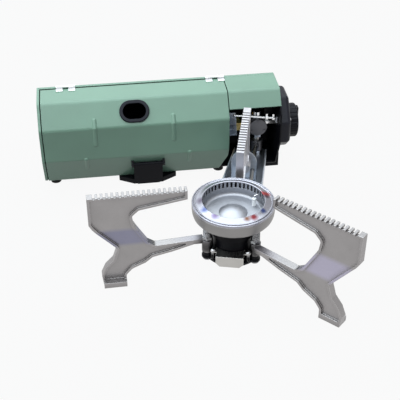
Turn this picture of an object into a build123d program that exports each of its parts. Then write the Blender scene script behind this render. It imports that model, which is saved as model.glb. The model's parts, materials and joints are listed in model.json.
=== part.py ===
from build123d import *
from math import cos, hypot, radians, sin, sqrt
import os

# Folding camping stove: a long sheet housing with a hinged lid over the cartridge bay, a swing arm that
# carries the burner, and three toothed castings that hold the pan.
# Working frame in millimetres: the burner axis is the Z axis, +X runs along the housing, +Y to the rear.

# Fits shared by all sub-assemblies
overrun = 2.0
running_clearance = 0.05
play = 0.1
seat_gap = 0.4

# Housing section, seen from the left end
pivot_from_front = 26.85
housing_depth = 86.0
foot_height = 6.0
housing_height = 101.6
front_bevel_depth = 20.5
front_bevel_height = 24.3
sill_bevel_depth = 18.0
sill_bevel_height = 37.5
rear_bevel_depth = 27.0
rear_bevel_height = 25.6
sheet = 1.2
bend_radius = 6.0

# Housing along X
pivot_from_lid_end = 245.68
lid_length = 208.5
end_gap = 1.0
roof_length = 59.5
roof_front_share = 0.66
end_plate_sheet = 1.5
end_rim = 3.0
partition_setback = 7.5
partition_sheet = 1.2
collar_hole_radius = 15.0
bulkhead_sheet = 1.5
wall_foot_width = 38.0
wall_foot_rise = 1.6
liner_sheet = 0.8

# Lid hinge along the rear top edge
hinge_from_rear = 33.0
hinge_gap = 3.0
knuckle_radius = 1.7
hinge_pin_radius = 0.8
hinge_leaf_sheet = 0.8
hinge_length = 21.6
hinge_knuckle_length = 6.4
lid_leaf_depth = 8.0
body_leaf_depth = 3.4
left_hinge_from_lid_end = 28.4
right_hinge_from_lid_end = 31.2
lid_lift = 0.8
lid_corner_start = 14.0
lid_corner_width = 9.0

# Pressed ribs of the lid
rib_radius = 3.0
rib_sink = 1.6
upper_rib_places = [57.5, 145.4]
upper_rib_rise_share = 0.28
upper_rib_drop_share = 0.52
lower_rib_places = [45.5, 163.1]
lower_rib_drop_share = 0.42

# Oval window of the lid
window_from_lid_end = 102.6
window_height_share = 0.52
window_length = 33.6
window_width = 25.4
window_rim = 3.8
window_rim_thickness = 2.2
window_tube_depth = 3.0
window_tube_wall = 1.8

# Latch on the lid and the foot that it meets
latch_from_lid_end = 115.2
latch_width = 33.0
latch_pivot_drop = 13.4
latch_pivot_stand = 3.0
latch_barrel_radius = 2.3
latch_pin_radius = 1.2
latch_thickness = 2.4
latch_floor_gap = 1.2
latch_ear_width = 2.6
latch_ear_reach = 4.4
latch_ear_height = 2.6
latch_corner = 5.0
catch_front_gap = 0.4
catch_length = 66.8
catch_depth = 23.7
catch_shoulder = 9.7

# Feet
foot_radius = 6.0
foot_inset = 8.0
foot_row_inset = 28.0
right_foot_length = 17.0
right_foot_depth = 38.0
right_foot_rise = 18.0
right_foot_overhang = 4.0

# Cartridge bay: the cartridge axis is also the axis of the connector and of the knob
gas_axis_behind_pivot = 11.15
gas_axis_z = 54.0
cartridge_radius = 33.5
cradle_gap = 0.5
cradle_width = 12.0
cradle_half_span = 24.0
cradle_places = [36.0, 166.0]
magnet_radius = 4.0
magnet_length = 3.0
magnet_circle = 22.0

# Regulator, cartridge connector and link rod in the control box
regulator_length = 16.0
regulator_depth = 30.0
regulator_height = 21.0
regulator_underside = 47.0
regulator_round = 2.5
chamber_radius = 11.0
chamber_stand = 3.5
chamber_screw_radius = 1.5
chamber_screw_circle = 8.5
cap_radius = 6.5
cap_height = 7.0
cap_collar_radius = 8.0
cap_collar_height = 1.8
connector_radius = 6.0
connector_hex_radius = 9.0
connector_hex_length = 6.0
connector_hex_setback = 10.0
connector_flange_radius = 10.0
connector_flange_length = 2.0
connector_nose_radius = 4.5
connector_nose_length = 7.0
connector_bore_radius = 2.0
seal_radius = 8.0
seal_length = 2.0
bracket_sheet = 1.5
bracket_width = 10.4
bracket_top_share = 0.81
bracket_bend_share = 0.37
bracket_bend_width_share = 0.92
bracket_underside = 51.0
bracket_height = 30.0
bracket_before_gas_axis = 21.0
bracket_from_partition = 7.8
link_rod_radius = 1.2
link_rod_rise = 27.7
link_rod_fall = 7.3
link_rod_length = 48.0
link_rod_stand = 1.6
clip_radius = 2.6
clip_length = 3.0
clip_place_shares = [0.78, 0.94]
clip_post_width = 2.4

# Knob, spindle, igniter and side panel at the right end
panel_length = 13.0
panel_wall = 2.0
panel_inset = 6.0
panel_drop = 15.0
panel_lift = 26.0
panel_round = 5.0
knob_gap = 1.2
knob_radius = 20.0
knob_length = 10.8
knob_flutes = 24
knob_flute_radius = 2.2
knob_flute_depth = 0.5
knob_round = 2.6
knob_ridge_width = 7.0
knob_ridge_height = 2.2
knob_socket_depth = 6.0
spindle_radius = 3.5
spindle_entry = 4.0
cam_radius = 18.4
cam_thickness = 2.0
cam_from_bulkhead = 5.4
igniter_side = 14.0
igniter_length = 10.5
igniter_offset_y = 12.0
igniter_offset_z = 10.0
plunger_radius = 2.2
plunger_length = 9.0
plunger_stand = 5.0
plunger_travel = 4.0
screw_radius = 2.5
screw_rise = 1.2
end_screw_shares = [(0.3, 0.2), (0.3, 0.8), (0.7, 0.2), (0.7, 0.8)]
panel_screw_shares = [(0.18, 0.25), (0.18, 0.6), (0.72, 0.25), (0.72, 0.6)]

# Swing arm, drawn in its own frame: +X from the burner axis to the pivot
arm_azimuth = 75.0
pivot_reach = 194.0
gas_line_offset = -9.8
arm_underside = 18.5
arm_sheet = 1.5
arm_flange_height = 16.0
arm_root_half_width = 23.0
arm_waist_half_width = 22.4
arm_left_tail_half_width = 14.8
arm_right_tail_half_width = 23.0
arm_nose_radius = 20.0
arm_flange_start = 40.0
arm_tail_from_pivot = 16.0
arm_taper_length = 70.0
pivot_pad_radius = 12.0
pivot_bush_radius = 9.0
pivot_pin_radius = 4.0
pivot_head_radius = 6.5
pivot_head_height = 4.0
elbow_radius = 7.5
elbow_height = 12.9
elbow_floor = 3.0
elbow_gap = 1.0
downpipe_radius = 4.5
downpipe_bore = 2.5
downpipe_end_gap = 0.5
union_nut_radius = 7.0
union_nut_height = 3.4
gas_pipe_radius = 2.2
gas_pipe_rise = 13.5
pipe_rest_length = 8.0
pipe_rest_share = 0.3
nozzle_radius = 3.6
nozzle_length = 8.0
nozzle_tip_radius = 1.5
nozzle_tip_length = 4.0
mixer_radius = 4.5
mixer_bore = 3.2
mixer_length = 17.0
mixer_window_radius = 1.6
mixer_start = 30.0

# Burner
disc_stand = 6.0
disc_stand_radius = 12.0
disc_radius = 28.5
disc_lobe_radius = 5.6
disc_thickness = 2.5
drum_radius = 19.8
drum_foot_radius = 22.0
drum_foot_height = 4.5
drum_wall = 2.0
pan_underside = 68.0
pan_sheet = 1.2
pan_radius = 41.0
pan_height = 15.4
pan_taper = 3.2
pan_bevel_height = 8.0
pan_hole_radius = 19.0
bowl_radius = 31.8
bowl_wall = 1.2
bowl_floor = 2.8
bowl_height = 17.8
bowl_dome_radius = 14.3
bowl_dome_rise = 5.0
bowl_corner = 3.6
slot_count = 45
slot_width = 2.0
slot_height = 6.5
ring_overlap = 0.2
ring_thickness = 1.3
ring_fall = 3.0
ring_groove_shares = [0.56, 0.62, 0.70, 0.80, 0.86]
ring_groove_depth = 0.7
ring_skirt = 0.6
electrode_circle = 24.5
electrode_azimuth = 22.0
ceramic_radius = 2.2
ceramic_height = 8.5
electrode_wire_radius = 0.6
electrode_rise = 3.0
electrode_reach = 4.0

# Posts on which the burner stands and the legs turn
post_circle = 27.5
post_spread = 120.0
post_radius = 3.0
post_sleeve_radius = 4.0
post_washer_radius = 5.0
post_nut_radius = 5.2
post_nut_height = 3.2
post_head_radius = 4.5
post_head_height = 2.2

# Leg stop bracket in front of the burner
stop_rivet_reach = 20.0
stop_rivet_side = 17.4
stop_ear_radius = 2.9
stop_width = 27.6
stop_back = 12.0
stop_sheet = 1.2
stop_top = 38.5
stop_drop = 12.3
stop_corner = 4.0
stop_pillar_radius = 2.2
stop_head_radius = 2.9
stop_head_rise = 2.3

# Toothed castings: the two legs fold, the rear one stands on the arm
support_height = 111.0
tooth_pitch = 5.0
tooth_depth = 2.8
tooth_gap_share = 0.5
rim_thickness = 8.0
rim_width = 2.4
corner_round = 4.0
pocket_round = 1.2
web_thickness = 3.4
leg_reach = 115.5
leg_sideways = 4.2
leg_jog = 4.8
jog_foot = 48.0
jog_height = 22.0
knuckle_underside = 33.5
knuckle_height = 14.0
knuckle_radius_leg = 5.5
leg_tooth_start = 20.0
leg_tooth_plain = 1.0
left_leg_azimuth = 181.0
right_leg_azimuth = -45.8
foot_pad_length = 23.0
foot_pad_width = 13.0
foot_pad_height = 6.0
leg_root_underside_rise = 8.236
leg_root_top_rise = 13.564
leg_root_shares = (0.035, 0.115, 0.078)
leg_outline_shares = [
    (0.300, 0.318), (0.476, 0.275), (0.537, 0.221), (0.658, 0.162), (0.710, 0.099), (0.710, 0.0),
    (0.909, 0.0), (0.922, 0.113), (0.883, 0.203), (0.814, 0.279), (0.775, 0.405), (0.974, 0.671),
    (1.0, 0.721), (1.0, 1.0), (0.173, 1.0), (0.173, 0.910), (0.580, 0.838), (0.641, 0.779),
    (0.628, 0.685), (0.511, 0.446), (0.450, 0.401),
]
rear_end_from_pivot = 55.0
rear_inner = 49.0
rear_side_step = -1.7
rear_column_share = 0.93
rear_column_foot_rise = 28.665
rear_column_shoulder_rise = 34.58
rear_column_foot_shares = (0.860, 0.720)
rear_column_side_shares = (rear_column_share, 0.655)
rear_top_shares = [(0.0, 1.0), (1.0, 1.0), (0.922, 0.879), (0.900, 0.835), (rear_column_share, 0.560)]
rear_bottom_shares = [(0.640, 0.540), (0.389, 0.540), (0.189, 0.470), (0.144, 0.360), (0.144, 0.0), (0.0, 0.0)]
rear_tooth_plain = 3.0
ear_radius = 14.0
ear_centre_rise = 25.0
ear_sheet = 1.5
ear_foot_length = 10.0
lug_radius = 6.5
lug_length = 14.0
fixing_radius = 3.0
fixing_entry = 9.0
fixing_head_radius = 5.0
fixing_head_height = 3.0
arm_rivet_radius = 2.4
arm_rivet_rise = 1.5
arm_rivet_side = 6.0


def arm_point(x, y, z):
    """Point given in the arm frame, in the working frame."""
    angle = radians(arm_azimuth)
    return (x * cos(angle) - y * sin(angle), x * sin(angle) + y * cos(angle), z)


# Places that follow from the arm's pivot
pivot = arm_point(pivot_reach, gas_line_offset, 0)
housing_front = pivot[1] - pivot_from_front
lid_left = pivot[0] - pivot_from_lid_end
gas_axis_y = pivot[1] + gas_axis_behind_pivot
regulator_left = pivot[0] - regulator_length / 2
bracket_front = gas_axis_y - bracket_before_gas_axis
arm_tail = pivot_reach - arm_tail_from_pivot
arm_waist = arm_tail - arm_taper_length
rear_reach = pivot_reach - rear_end_from_pivot
ear_reach = rear_inner + rear_column_share * (rear_reach - rear_inner) + seat_gap

# Derived housing levels
housing_top = foot_height + housing_height
housing_rear = housing_front + housing_depth
lid_right = lid_left + lid_length
roof_left = lid_right + end_gap
roof_right = roof_left + roof_length
end_plate_left = lid_left - end_gap - end_rim
end_rim_face = lid_left - end_gap
floor_top = foot_height + sheet
liner_top = floor_top + seat_gap + liner_sheet
partition_left = lid_right - partition_setback
partition_right = partition_left + partition_sheet
bracket_left = partition_right + bracket_from_partition
bulkhead_left = roof_right - bulkhead_sheet
hinge_y = housing_rear - hinge_from_rear
hinge_z = housing_top + knuckle_radius
lid_edge = hinge_y - hinge_gap / 2
body_edge = hinge_y + hinge_gap / 2
crease_top = (housing_front + front_bevel_depth, housing_top)
crease_front = (housing_front, housing_top - front_bevel_height)
crease_sill = (housing_front, foot_height + sill_bevel_height)
crease_floor = (housing_front + sill_bevel_depth, foot_height)
crease_rear_floor = (housing_rear - sill_bevel_depth, foot_height)
crease_rear_sill = (housing_rear, foot_height + sill_bevel_height)
crease_rear = (housing_rear, housing_top - rear_bevel_height)
crease_rear_top = (housing_rear - rear_bevel_depth, housing_top)

# Derived arm and burner levels
arm_floor = arm_underside + arm_sheet
arm_top = arm_underside + arm_flange_height
disc_underside = arm_floor + disc_stand
disc_top = disc_underside + disc_thickness
pipe_z = arm_floor + gas_pipe_rise
bowl_seat = pan_underside + pan_sheet
bowl_top = bowl_seat + bowl_height
bowl_inner_floor = bowl_seat + bowl_floor
knuckle_top = knuckle_underside + knuckle_height
pan_rim_radius = pan_radius - pan_taper
arm_place = Rot(0, 0, arm_azimuth)


def block(x_low, x_high, y_low, y_high, z_low, z_high):
    """Straight block between two values on each axis."""
    size = Box(x_high - x_low, y_high - y_low, z_high - z_low, align=(Align.MIN, Align.MIN, Align.MIN))
    return Pos(x_low, y_low, z_low) * size


def rod(start, end, radius):
    """Round rod from one point to another."""
    axis = Vector(*end) - Vector(*start)
    return extrude(Plane(origin=start, z_dir=axis) * Circle(radius), amount=axis.length)


def hex_rod(start, end, radius):
    """Hexagonal rod from one point to another; the radius is to the corners."""
    axis = Vector(*end) - Vector(*start)
    return extrude(Plane(origin=start, z_dir=axis) * RegularPolygon(radius, 6), amount=axis.length)


def tube(start, end, radius, bore):
    """Round tube from one point to another."""
    return rod(start, end, radius) - rod(start, end, bore)


def outline(points, plane):
    """Flat face through points, laid in a plane."""
    return plane * make_face(Polyline(*points, close=True))


def prism_x(points, x_low, x_high):
    """Outline in Y and Z, drawn along X."""
    return Pos(x_low, 0, 0) * extrude(outline(points, Plane.YZ), amount=x_high - x_low, dir=(1, 0, 0))


def prism_y(points, y_low, y_high):
    """Outline in X and Z, drawn along Y."""
    return Pos(0, y_low, 0) * extrude(outline(points, Plane.XZ), amount=y_high - y_low, dir=(0, 1, 0))


def prism_z(points, z_low, z_high):
    """Outline in X and Y, drawn along Z."""
    return Pos(0, 0, z_low) * extrude(outline(points, Plane.XY), amount=z_high - z_low, dir=(0, 0, 1))


def turned(points):
    """Solid of revolution about the burner axis, from points of radius and height."""
    return revolve(outline(points, Plane.XZ), Axis.Z)


def group(pieces):
    """Several separate solids in one node."""
    return Compound([solid for piece in pieces for solid in piece.solids()])


def scaled(shares, start, reach, low, height):
    """Outline points from shares of a reach and of a height."""
    return [(start + along * reach, low + up * height) for along, up in shares]


def side_step(first, second, distance):
    """Shift to the left of the way from the first point to the second."""
    along, across = second[0] - first[0], second[1] - first[1]
    length = hypot(along, across)
    return (-across / length * distance, along / length * distance)


def shifted_path(points, distance, closed=False):
    """Path beside a path: to its left where the distance is positive, with mitred corners."""
    result = []
    count = len(points)
    for index, point in enumerate(points):
        before = points[index - 1] if index or closed else None
        after = points[(index + 1) % count] if index + 1 < count or closed else None
        first = side_step(before or point, point if before else after, distance)
        second = side_step(point if after else before, after or point, distance)
        share = 1 + (first[0] * second[0] + first[1] * second[1]) / distance**2
        result.append((point[0] + (first[0] + second[0]) / share, point[1] + (first[1] + second[1]) / share))
    return result


def bent_sheet(points, thickness, radius, x_low, x_high):
    """Bent sheet along X: the points are its outer face, and its thickness lies to their left."""
    outer = FilletPolyline(*points, radius=radius)
    inner = FilletPolyline(*shifted_path(points, thickness), radius=radius - thickness)
    ends = [Line(outer @ 0, inner @ 0), Line(outer @ 1, inner @ 1)]
    face = Plane.YZ * make_face(outer.edges() + inner.edges() + ends)
    return Pos(x_low, 0, 0) * extrude(face, amount=x_high - x_low, dir=(1, 0, 0))


def section_points(inset):
    """Corners of the whole housing section, drawn in by an inset."""
    corners = [
        crease_top, crease_front, crease_sill, crease_floor,
        crease_rear_floor, crease_rear_sill, crease_rear, crease_rear_top,
    ]
    return shifted_path(corners, inset, closed=True) if inset else corners


def section_prism(inset, x_low, x_high):
    """Solid of the housing section with rounded creases."""
    solid = prism_x(section_points(inset), x_low, x_high)
    return fillet(solid.edges().filter_by(Axis.X), bend_radius - min(inset, sheet))


def on_sill(down, out):
    """Point beside the lower front facet: so far down it from its upper crease and so far out."""
    slope = hypot(sill_bevel_depth, sill_bevel_height)
    along = (sill_bevel_depth / slope, -sill_bevel_height / slope)
    return (
        crease_sill[0] + down * along[0] + out * along[1],
        crease_sill[1] + down * along[1] - out * along[0],
    )


def facet_plane(x, share):
    """Plane on the upper front facet, at a share of the way up it."""
    slope = hypot(front_bevel_depth, front_bevel_height)
    y = crease_front[0] + share * front_bevel_depth
    z = crease_front[1] + share * front_bevel_height
    normal = (0, -front_bevel_height / slope, front_bevel_depth / slope)
    return Plane(origin=(x, y, z), x_dir=(1, 0, 0), z_dir=normal)


def lid_path():
    """Outer face of the lid from its hinged edge to its lip."""
    lip = (crease_floor[0], foot_height + lid_lift)
    return [(lid_edge, housing_top), crease_top, crease_front, crease_sill, lip]


def body_path():
    """Outer face of the base shell from the floor edge, round the back, to the hinge."""
    floor_edge = (crease_floor[0] + hinge_gap, foot_height)
    return [floor_edge, crease_rear_floor, crease_rear_sill, crease_rear, crease_rear_top,
            (body_edge, housing_top)]


def capsule(points, radius):
    """Rods through points, with a ball at each point."""
    result = Pos(*points[0]) * Sphere(radius)
    for first, second in zip(points, points[1:]):
        result += rod(first, second, radius)
        result += Pos(*second) * Sphere(radius)
    return result


def pressed_ribs():
    """Round pressed ribs over the front crease and down the sill of the lid."""
    path = shifted_path(lid_path(), rib_sink)
    top, front, sill, lip = path[1], path[2], path[3], path[4]
    ribs = []
    for place in upper_rib_places:
        x = lid_left + place
        rise = (front[0] + (top[0] - front[0]) * upper_rib_rise_share,
                front[1] + (top[1] - front[1]) * upper_rib_rise_share)
        drop = (front[0], front[1] + (sill[1] - front[1]) * upper_rib_drop_share)
        ribs.append(capsule([(x, *rise), (x, *front), (x, *drop)], rib_radius))
    for place in lower_rib_places:
        x = lid_left + place
        drop = (sill[0] + (lip[0] - sill[0]) * lower_rib_drop_share,
                sill[1] + (lip[1] - sill[1]) * lower_rib_drop_share)
        ribs.append(capsule([(x, *sill), (x, *drop)], rib_radius))
    return ribs


def window_shape(length, width, low, high):
    """Stadium-shaped block on the upper front facet at the window."""
    plane = facet_plane(lid_left + window_from_lid_end, window_height_share)
    return extrude(plane.offset(low) * SlotOverall(length, width), amount=high - low)


def window_tube_size():
    """Length and width of the bezel's tube, which fills the hole in the lid."""
    wider = 2 * window_tube_wall - 2 * window_rim
    return window_length + wider, window_width + wider


def lid_corner():
    """Lower right corner of the lid, left away because it would sweep over the arm."""
    lip = lid_path()[-1]
    start = on_sill(lid_corner_start, 0)
    points = [(lid_right - lid_corner_width, lip[1] - sheet), (lid_right, start[1]),
              (lid_right + overrun, start[1]), (lid_right + overrun, lip[1] - sheet)]
    return prism_y(points, housing_front - overrun, lip[0] + overrun)


def lid():
    """Lid of the cartridge bay: top, front and sill in one bent sheet."""
    skin = bent_sheet(lid_path(), sheet, bend_radius, lid_left, lid_right)
    inside = section_prism(sheet, lid_left, lid_right)
    length, width = window_tube_size()
    hole = window_shape(length + 2 * play, width + 2 * play, -window_tube_depth, overrun)
    ribs = [rib - inside for rib in pressed_ribs()]
    return skin + ribs - hole - lid_corner()


def window_bezel():
    """Oval bezel: a rim on the lid and a tube through it."""
    length, width = window_tube_size()
    rim = window_shape(window_length, window_width, 0, window_rim_thickness)
    stem = window_shape(length, width, -window_tube_depth, 0)
    hole = window_shape(window_length - 2 * window_rim, window_width - 2 * window_rim,
                        -window_tube_depth, window_rim_thickness)
    outward = Axis((0, 0, 0), facet_plane(0, 0).z_dir)
    rim = fillet(rim.faces().sort_by(outward)[-1].edges(), window_rim_thickness / 2)
    return rim + stem - hole


def base_shell():
    """Floor, rear wall and rear top strip in one bent sheet."""
    return bent_sheet(body_path(), sheet, bend_radius, end_rim_face, roof_right)


def left_end_plate():
    """End plate with its rim turned towards the lid."""
    plate = section_prism(0, end_plate_left, end_rim_face)
    return plate - section_prism(end_plate_sheet, end_plate_left + end_plate_sheet, end_rim_face + overrun)


def cross_wall(x_low, x_high):
    """Wall across the housing, standing on the floor."""
    wall = section_prism(sheet + seat_gap, x_low, x_high)
    middle = housing_front + housing_depth / 2
    foot = block(x_low, x_high, middle - wall_foot_width / 2, middle + wall_foot_width / 2,
                 floor_top, floor_top + wall_foot_rise)
    return wall + foot


def partition_wall():
    """Wall between the cartridge bay and the control box, with the hole for the cartridge collar."""
    hole = rod((partition_left - overrun, gas_axis_y, gas_axis_z),
               (partition_right + overrun, gas_axis_y, gas_axis_z), collar_hole_radius)
    return cross_wall(partition_left, partition_right) - hole


def right_bulkhead():
    """Wall at the right end, with holes for the spindle and the igniter plunger."""
    wall = cross_wall(bulkhead_left, roof_right)
    for offset_y, offset_z, radius in [(0, 0, spindle_radius + seat_gap),
                                       (igniter_offset_y, igniter_offset_z, plunger_radius + seat_gap)]:
        y, z = gas_axis_y + offset_y, gas_axis_z + offset_z
        wall -= rod((bulkhead_left - overrun, y, z), (roof_right + overrun, y, z), radius)
    return wall


def liner(x_low, x_high):
    """Inner sheet along the floor and the rear wall, just inside the base shell."""
    path = shifted_path(body_path(), sheet + seat_gap)
    path[0] = (path[0][0] + wall_foot_rise, path[0][1])
    return bent_sheet(path, liner_sheet, bend_radius - sheet - seat_gap, x_low, x_high)


def control_box_roof():
    """Fixed roof of the control box, ending part way down the upper front facet."""
    lower = (crease_top[0] - front_bevel_depth * roof_front_share,
             crease_top[1] - front_bevel_height * roof_front_share)
    return bent_sheet([(body_edge, housing_top), crease_top, lower], sheet, bend_radius, roof_left, roof_right)


def hinge_starts():
    """Left ends of the two hinges."""
    return [lid_left + left_hinge_from_lid_end - hinge_length / 2,
            lid_right - right_hinge_from_lid_end + hinge_length / 2]


def hinge_knuckles(start, inner):
    """X stretches of the knuckles: the middle one on the body, the outer two on the lid."""
    if inner:
        low = start + (hinge_length - hinge_knuckle_length) / 2
        return [(low + play, low + hinge_knuckle_length - play)]
    outer = (hinge_length - hinge_knuckle_length) / 2
    return [(start, start + outer), (start + hinge_length - outer, start + hinge_length)]


def hinge_leaves(inner):
    """Leaves of both hinges on the body or on the lid, each with its knuckles."""
    leaves = []
    for start in hinge_starts():
        for low, high in hinge_knuckles(start, inner):
            near, far = (hinge_y, hinge_y + body_leaf_depth) if inner else (hinge_y - lid_leaf_depth, hinge_y)
            leaf = block(low, high, near, far, housing_top, housing_top + hinge_leaf_sheet)
            leaf += rod((low, hinge_y, hinge_z), (high, hinge_y, hinge_z), knuckle_radius)
            bore = hinge_pin_radius + running_clearance
            leaves.append(leaf - rod((low, hinge_y, hinge_z), (high, hinge_y, hinge_z), bore))
    return group(leaves)


def hinge_pins():
    """Pins of the two lid hinges."""
    return group([rod((start, hinge_y, hinge_z), (start + hinge_length, hinge_y, hinge_z), hinge_pin_radius)
                  for start in hinge_starts()])


latch_left = lid_left + latch_from_lid_end - latch_width / 2
latch_right = latch_left + latch_width
latch_pivot = on_sill(latch_pivot_drop, latch_pivot_stand)
catch_front = crease_floor[0] - catch_shoulder


def latch():
    """Latch plate with its barrel, hanging in front of the sill down to the catch."""
    front = (latch_pivot[0] - latch_barrel_radius, latch_pivot[1])
    rear = (front[0] + latch_thickness, latch_pivot[1])
    toe = (catch_front - catch_front_gap, latch_floor_gap)
    profile = [front, rear, toe, (toe[0] - latch_thickness, latch_floor_gap)]
    plate = prism_x(profile, latch_left, latch_right)
    for side, sign in [(latch_left, 1), (latch_right, -1)]:
        corner = [(side, 0), (side + sign * latch_corner, 0), (side, latch_corner + latch_floor_gap)]
        plate -= prism_y(corner, housing_front - catch_length, housing_rear)
    barrel = rod((latch_left, *latch_pivot), (latch_right, *latch_pivot), latch_barrel_radius)
    bore = rod((latch_left, *latch_pivot), (latch_right, *latch_pivot), latch_pin_radius + running_clearance)
    return plate + barrel - bore


def latch_ears():
    """Two ears on the sill that hold the latch pin."""
    low, high = latch_pivot_drop - latch_ear_reach, latch_pivot_drop + latch_ear_reach
    top = latch_pivot_stand + latch_ear_height
    profile = [on_sill(low, 0), on_sill(low + latch_ear_height, top), on_sill(high - latch_ear_height, top),
               on_sill(high, 0)]
    ears = []
    for start in [latch_left - play - latch_ear_width, latch_right + play]:
        ear = prism_x(profile, start, start + latch_ear_width)
        bore = rod((start, *latch_pivot), (start + latch_ear_width, *latch_pivot),
                   latch_pin_radius + running_clearance)
        ears.append(ear - bore)
    return group(ears)


def latch_pin():
    """Pin through the ears and the latch."""
    reach = play + latch_ear_width
    return rod((latch_left - reach, *latch_pivot), (latch_right + reach, *latch_pivot), latch_pin_radius)


def catch_foot():
    """Foot under the front that stands out as a trapezoid, where the latch meets it."""
    middle = (latch_left + latch_right) / 2
    narrow, wide = latch_width / 2, catch_length / 2
    rear = catch_front + catch_depth
    points = [(middle - narrow, catch_front), (middle + narrow, catch_front),
              (middle + wide, catch_front + catch_shoulder), (middle + wide, rear),
              (middle - wide, rear), (middle - wide, catch_front + catch_shoulder)]
    return prism_z(points, 0, foot_height)


def feet():
    """Four round rubber feet under the cartridge bay."""
    rows = [housing_front + foot_row_inset, housing_rear - foot_row_inset + foot_radius]
    columns = [lid_left + foot_inset, lid_right - foot_inset]
    return group([rod((x, y, 0), (x, y, foot_height), foot_radius) for x in columns for y in rows])


def right_foot():
    """Foot block under the control box that rises beside the right end."""
    right = roof_right + right_foot_overhang
    left = right - right_foot_length
    rise_left = roof_right + play
    points = [(left, 0), (right, 0), (right, right_foot_rise), (rise_left, right_foot_rise),
              (rise_left, foot_height), (left, foot_height)]
    front = crease_floor[0] + foot_height
    return prism_y(points, front, front + right_foot_depth)


def can_cradle():
    """Two saddles on which the gas cartridge lies."""
    saddles = []
    for place in cradle_places:
        x = lid_left + place
        saddle = block(x, x + cradle_width, gas_axis_y - cradle_half_span / 2, gas_axis_y + cradle_half_span,
                       liner_top, gas_axis_z - cartridge_radius / 2)
        saddle -= rod((x - overrun, gas_axis_y, gas_axis_z), (x + cradle_width + overrun, gas_axis_y, gas_axis_z),
                      cartridge_radius + cradle_gap)
        saddles.append(saddle)
    return group(saddles)


def can_magnets():
    """Magnets that hold the rim of the cartridge."""
    magnets = []
    for sign in (-1, 1):
        y = gas_axis_y + sign * magnet_circle
        magnets.append(rod((partition_left - magnet_length, y, gas_axis_z), (partition_left, y, gas_axis_z),
                           magnet_radius))
    return group(magnets)


def gas_axis_rod(x_low, x_high, radius):
    """Rod on the axis shared by the cartridge, the connector and the knob."""
    return rod((x_low, gas_axis_y, gas_axis_z), (x_high, gas_axis_y, gas_axis_z), radius)


connector_flange = partition_right + connector_nose_length


def can_connector():
    """Brass connector from the regulator to the cartridge, with its hexagon."""
    hex_left = regulator_left - connector_hex_setback - connector_hex_length
    result = gas_axis_rod(connector_flange, regulator_left, connector_radius)
    result += gas_axis_rod(connector_flange, connector_flange + connector_flange_length, connector_flange_radius)
    result += hex_rod((hex_left, gas_axis_y, gas_axis_z),
                      (hex_left + connector_hex_length, gas_axis_y, gas_axis_z), connector_hex_radius)
    result += gas_axis_rod(partition_left, connector_flange, connector_nose_radius)
    return result - gas_axis_rod(partition_left, regulator_left, connector_bore_radius)


def connector_seal():
    """Rubber ring in front of the connector flange."""
    ring = gas_axis_rod(connector_flange - seal_length, connector_flange, seal_radius)
    return ring - gas_axis_rod(connector_flange - seal_length, connector_flange,
                               connector_nose_radius + running_clearance)


def connector_bracket():
    """Angle bracket between the partition wall and the link rod."""
    right = bracket_left + bracket_width
    top = bracket_underside + bracket_height
    side = [(bracket_left, bracket_underside), (right, bracket_underside),
            (bracket_left + bracket_bend_width_share * bracket_width,
             bracket_underside + bracket_bend_share * bracket_height),
            (bracket_left + bracket_top_share * bracket_width, top), (bracket_left, top)]
    front_leg = prism_y(side, bracket_front, bracket_front + bracket_sheet)
    foot = block(partition_right, bracket_left + bracket_sheet, bracket_front, bracket_front + bracket_sheet,
                 bracket_underside, top)
    flange = block(partition_right, partition_right + bracket_sheet, bracket_front,
                   bracket_front + bracket_width, bracket_underside, top)
    return front_leg + foot + flange


regulator_front = gas_axis_y - regulator_depth / 2
regulator_top = regulator_underside + regulator_height
regulator_right = regulator_left + regulator_length


def regulator_body():
    """Cast regulator with a round chamber cover to the front and the bore of the spindle."""
    body = block(regulator_left, regulator_right, regulator_front, regulator_front + regulator_depth,
                 regulator_underside, regulator_top)
    body = fillet(body.edges().filter_by(Axis.Y), regulator_round)
    middle = regulator_left + regulator_length / 2
    level = regulator_underside + regulator_height / 2
    body += rod((middle, regulator_front - chamber_stand, level), (middle, regulator_front, level),
                min(chamber_radius, regulator_height / 2))
    front = regulator_front - chamber_stand
    for angle in (90, 210, 330):
        x = middle + chamber_screw_circle * cos(radians(angle))
        z = level + chamber_screw_circle * sin(radians(angle))
        body += rod((x, front - chamber_screw_radius / 2, z), (x, front, z), chamber_screw_radius)
    bore = gas_axis_rod(regulator_right - spindle_entry - play, regulator_right, spindle_radius + running_clearance)
    return body - bore


def regulator_cap():
    """Bright cap of the regulator spring."""
    x = regulator_left + regulator_length / 2
    y = regulator_front + cap_collar_radius
    collar_top = regulator_top + cap_collar_height
    return rod((x, y, regulator_top), (x, y, collar_top), cap_collar_radius) + rod(
        (x, y, collar_top), (x, y, regulator_top + cap_height), cap_radius)


link_left = bracket_left + bracket_top_share * bracket_width - 1.5 * link_rod_radius
link_y = bracket_front - link_rod_stand
link_left_z = bracket_underside + link_rod_rise
link_drop_share = link_rod_fall / link_rod_length


def link_point(share):
    """Point on the link rod, at a share of its length."""
    return (link_left + share * link_rod_length, link_y, link_left_z - share * link_rod_fall)


def link_rod():
    """Bright rod between the connector bracket and the clip post, with a hooked end at the bracket."""
    start = link_point(0)
    hook = rod(start, (start[0], bracket_front, start[2]), link_rod_radius)
    return rod(start, link_point(1), link_rod_radius) + Pos(*start) * Sphere(link_rod_radius) + hook


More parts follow.
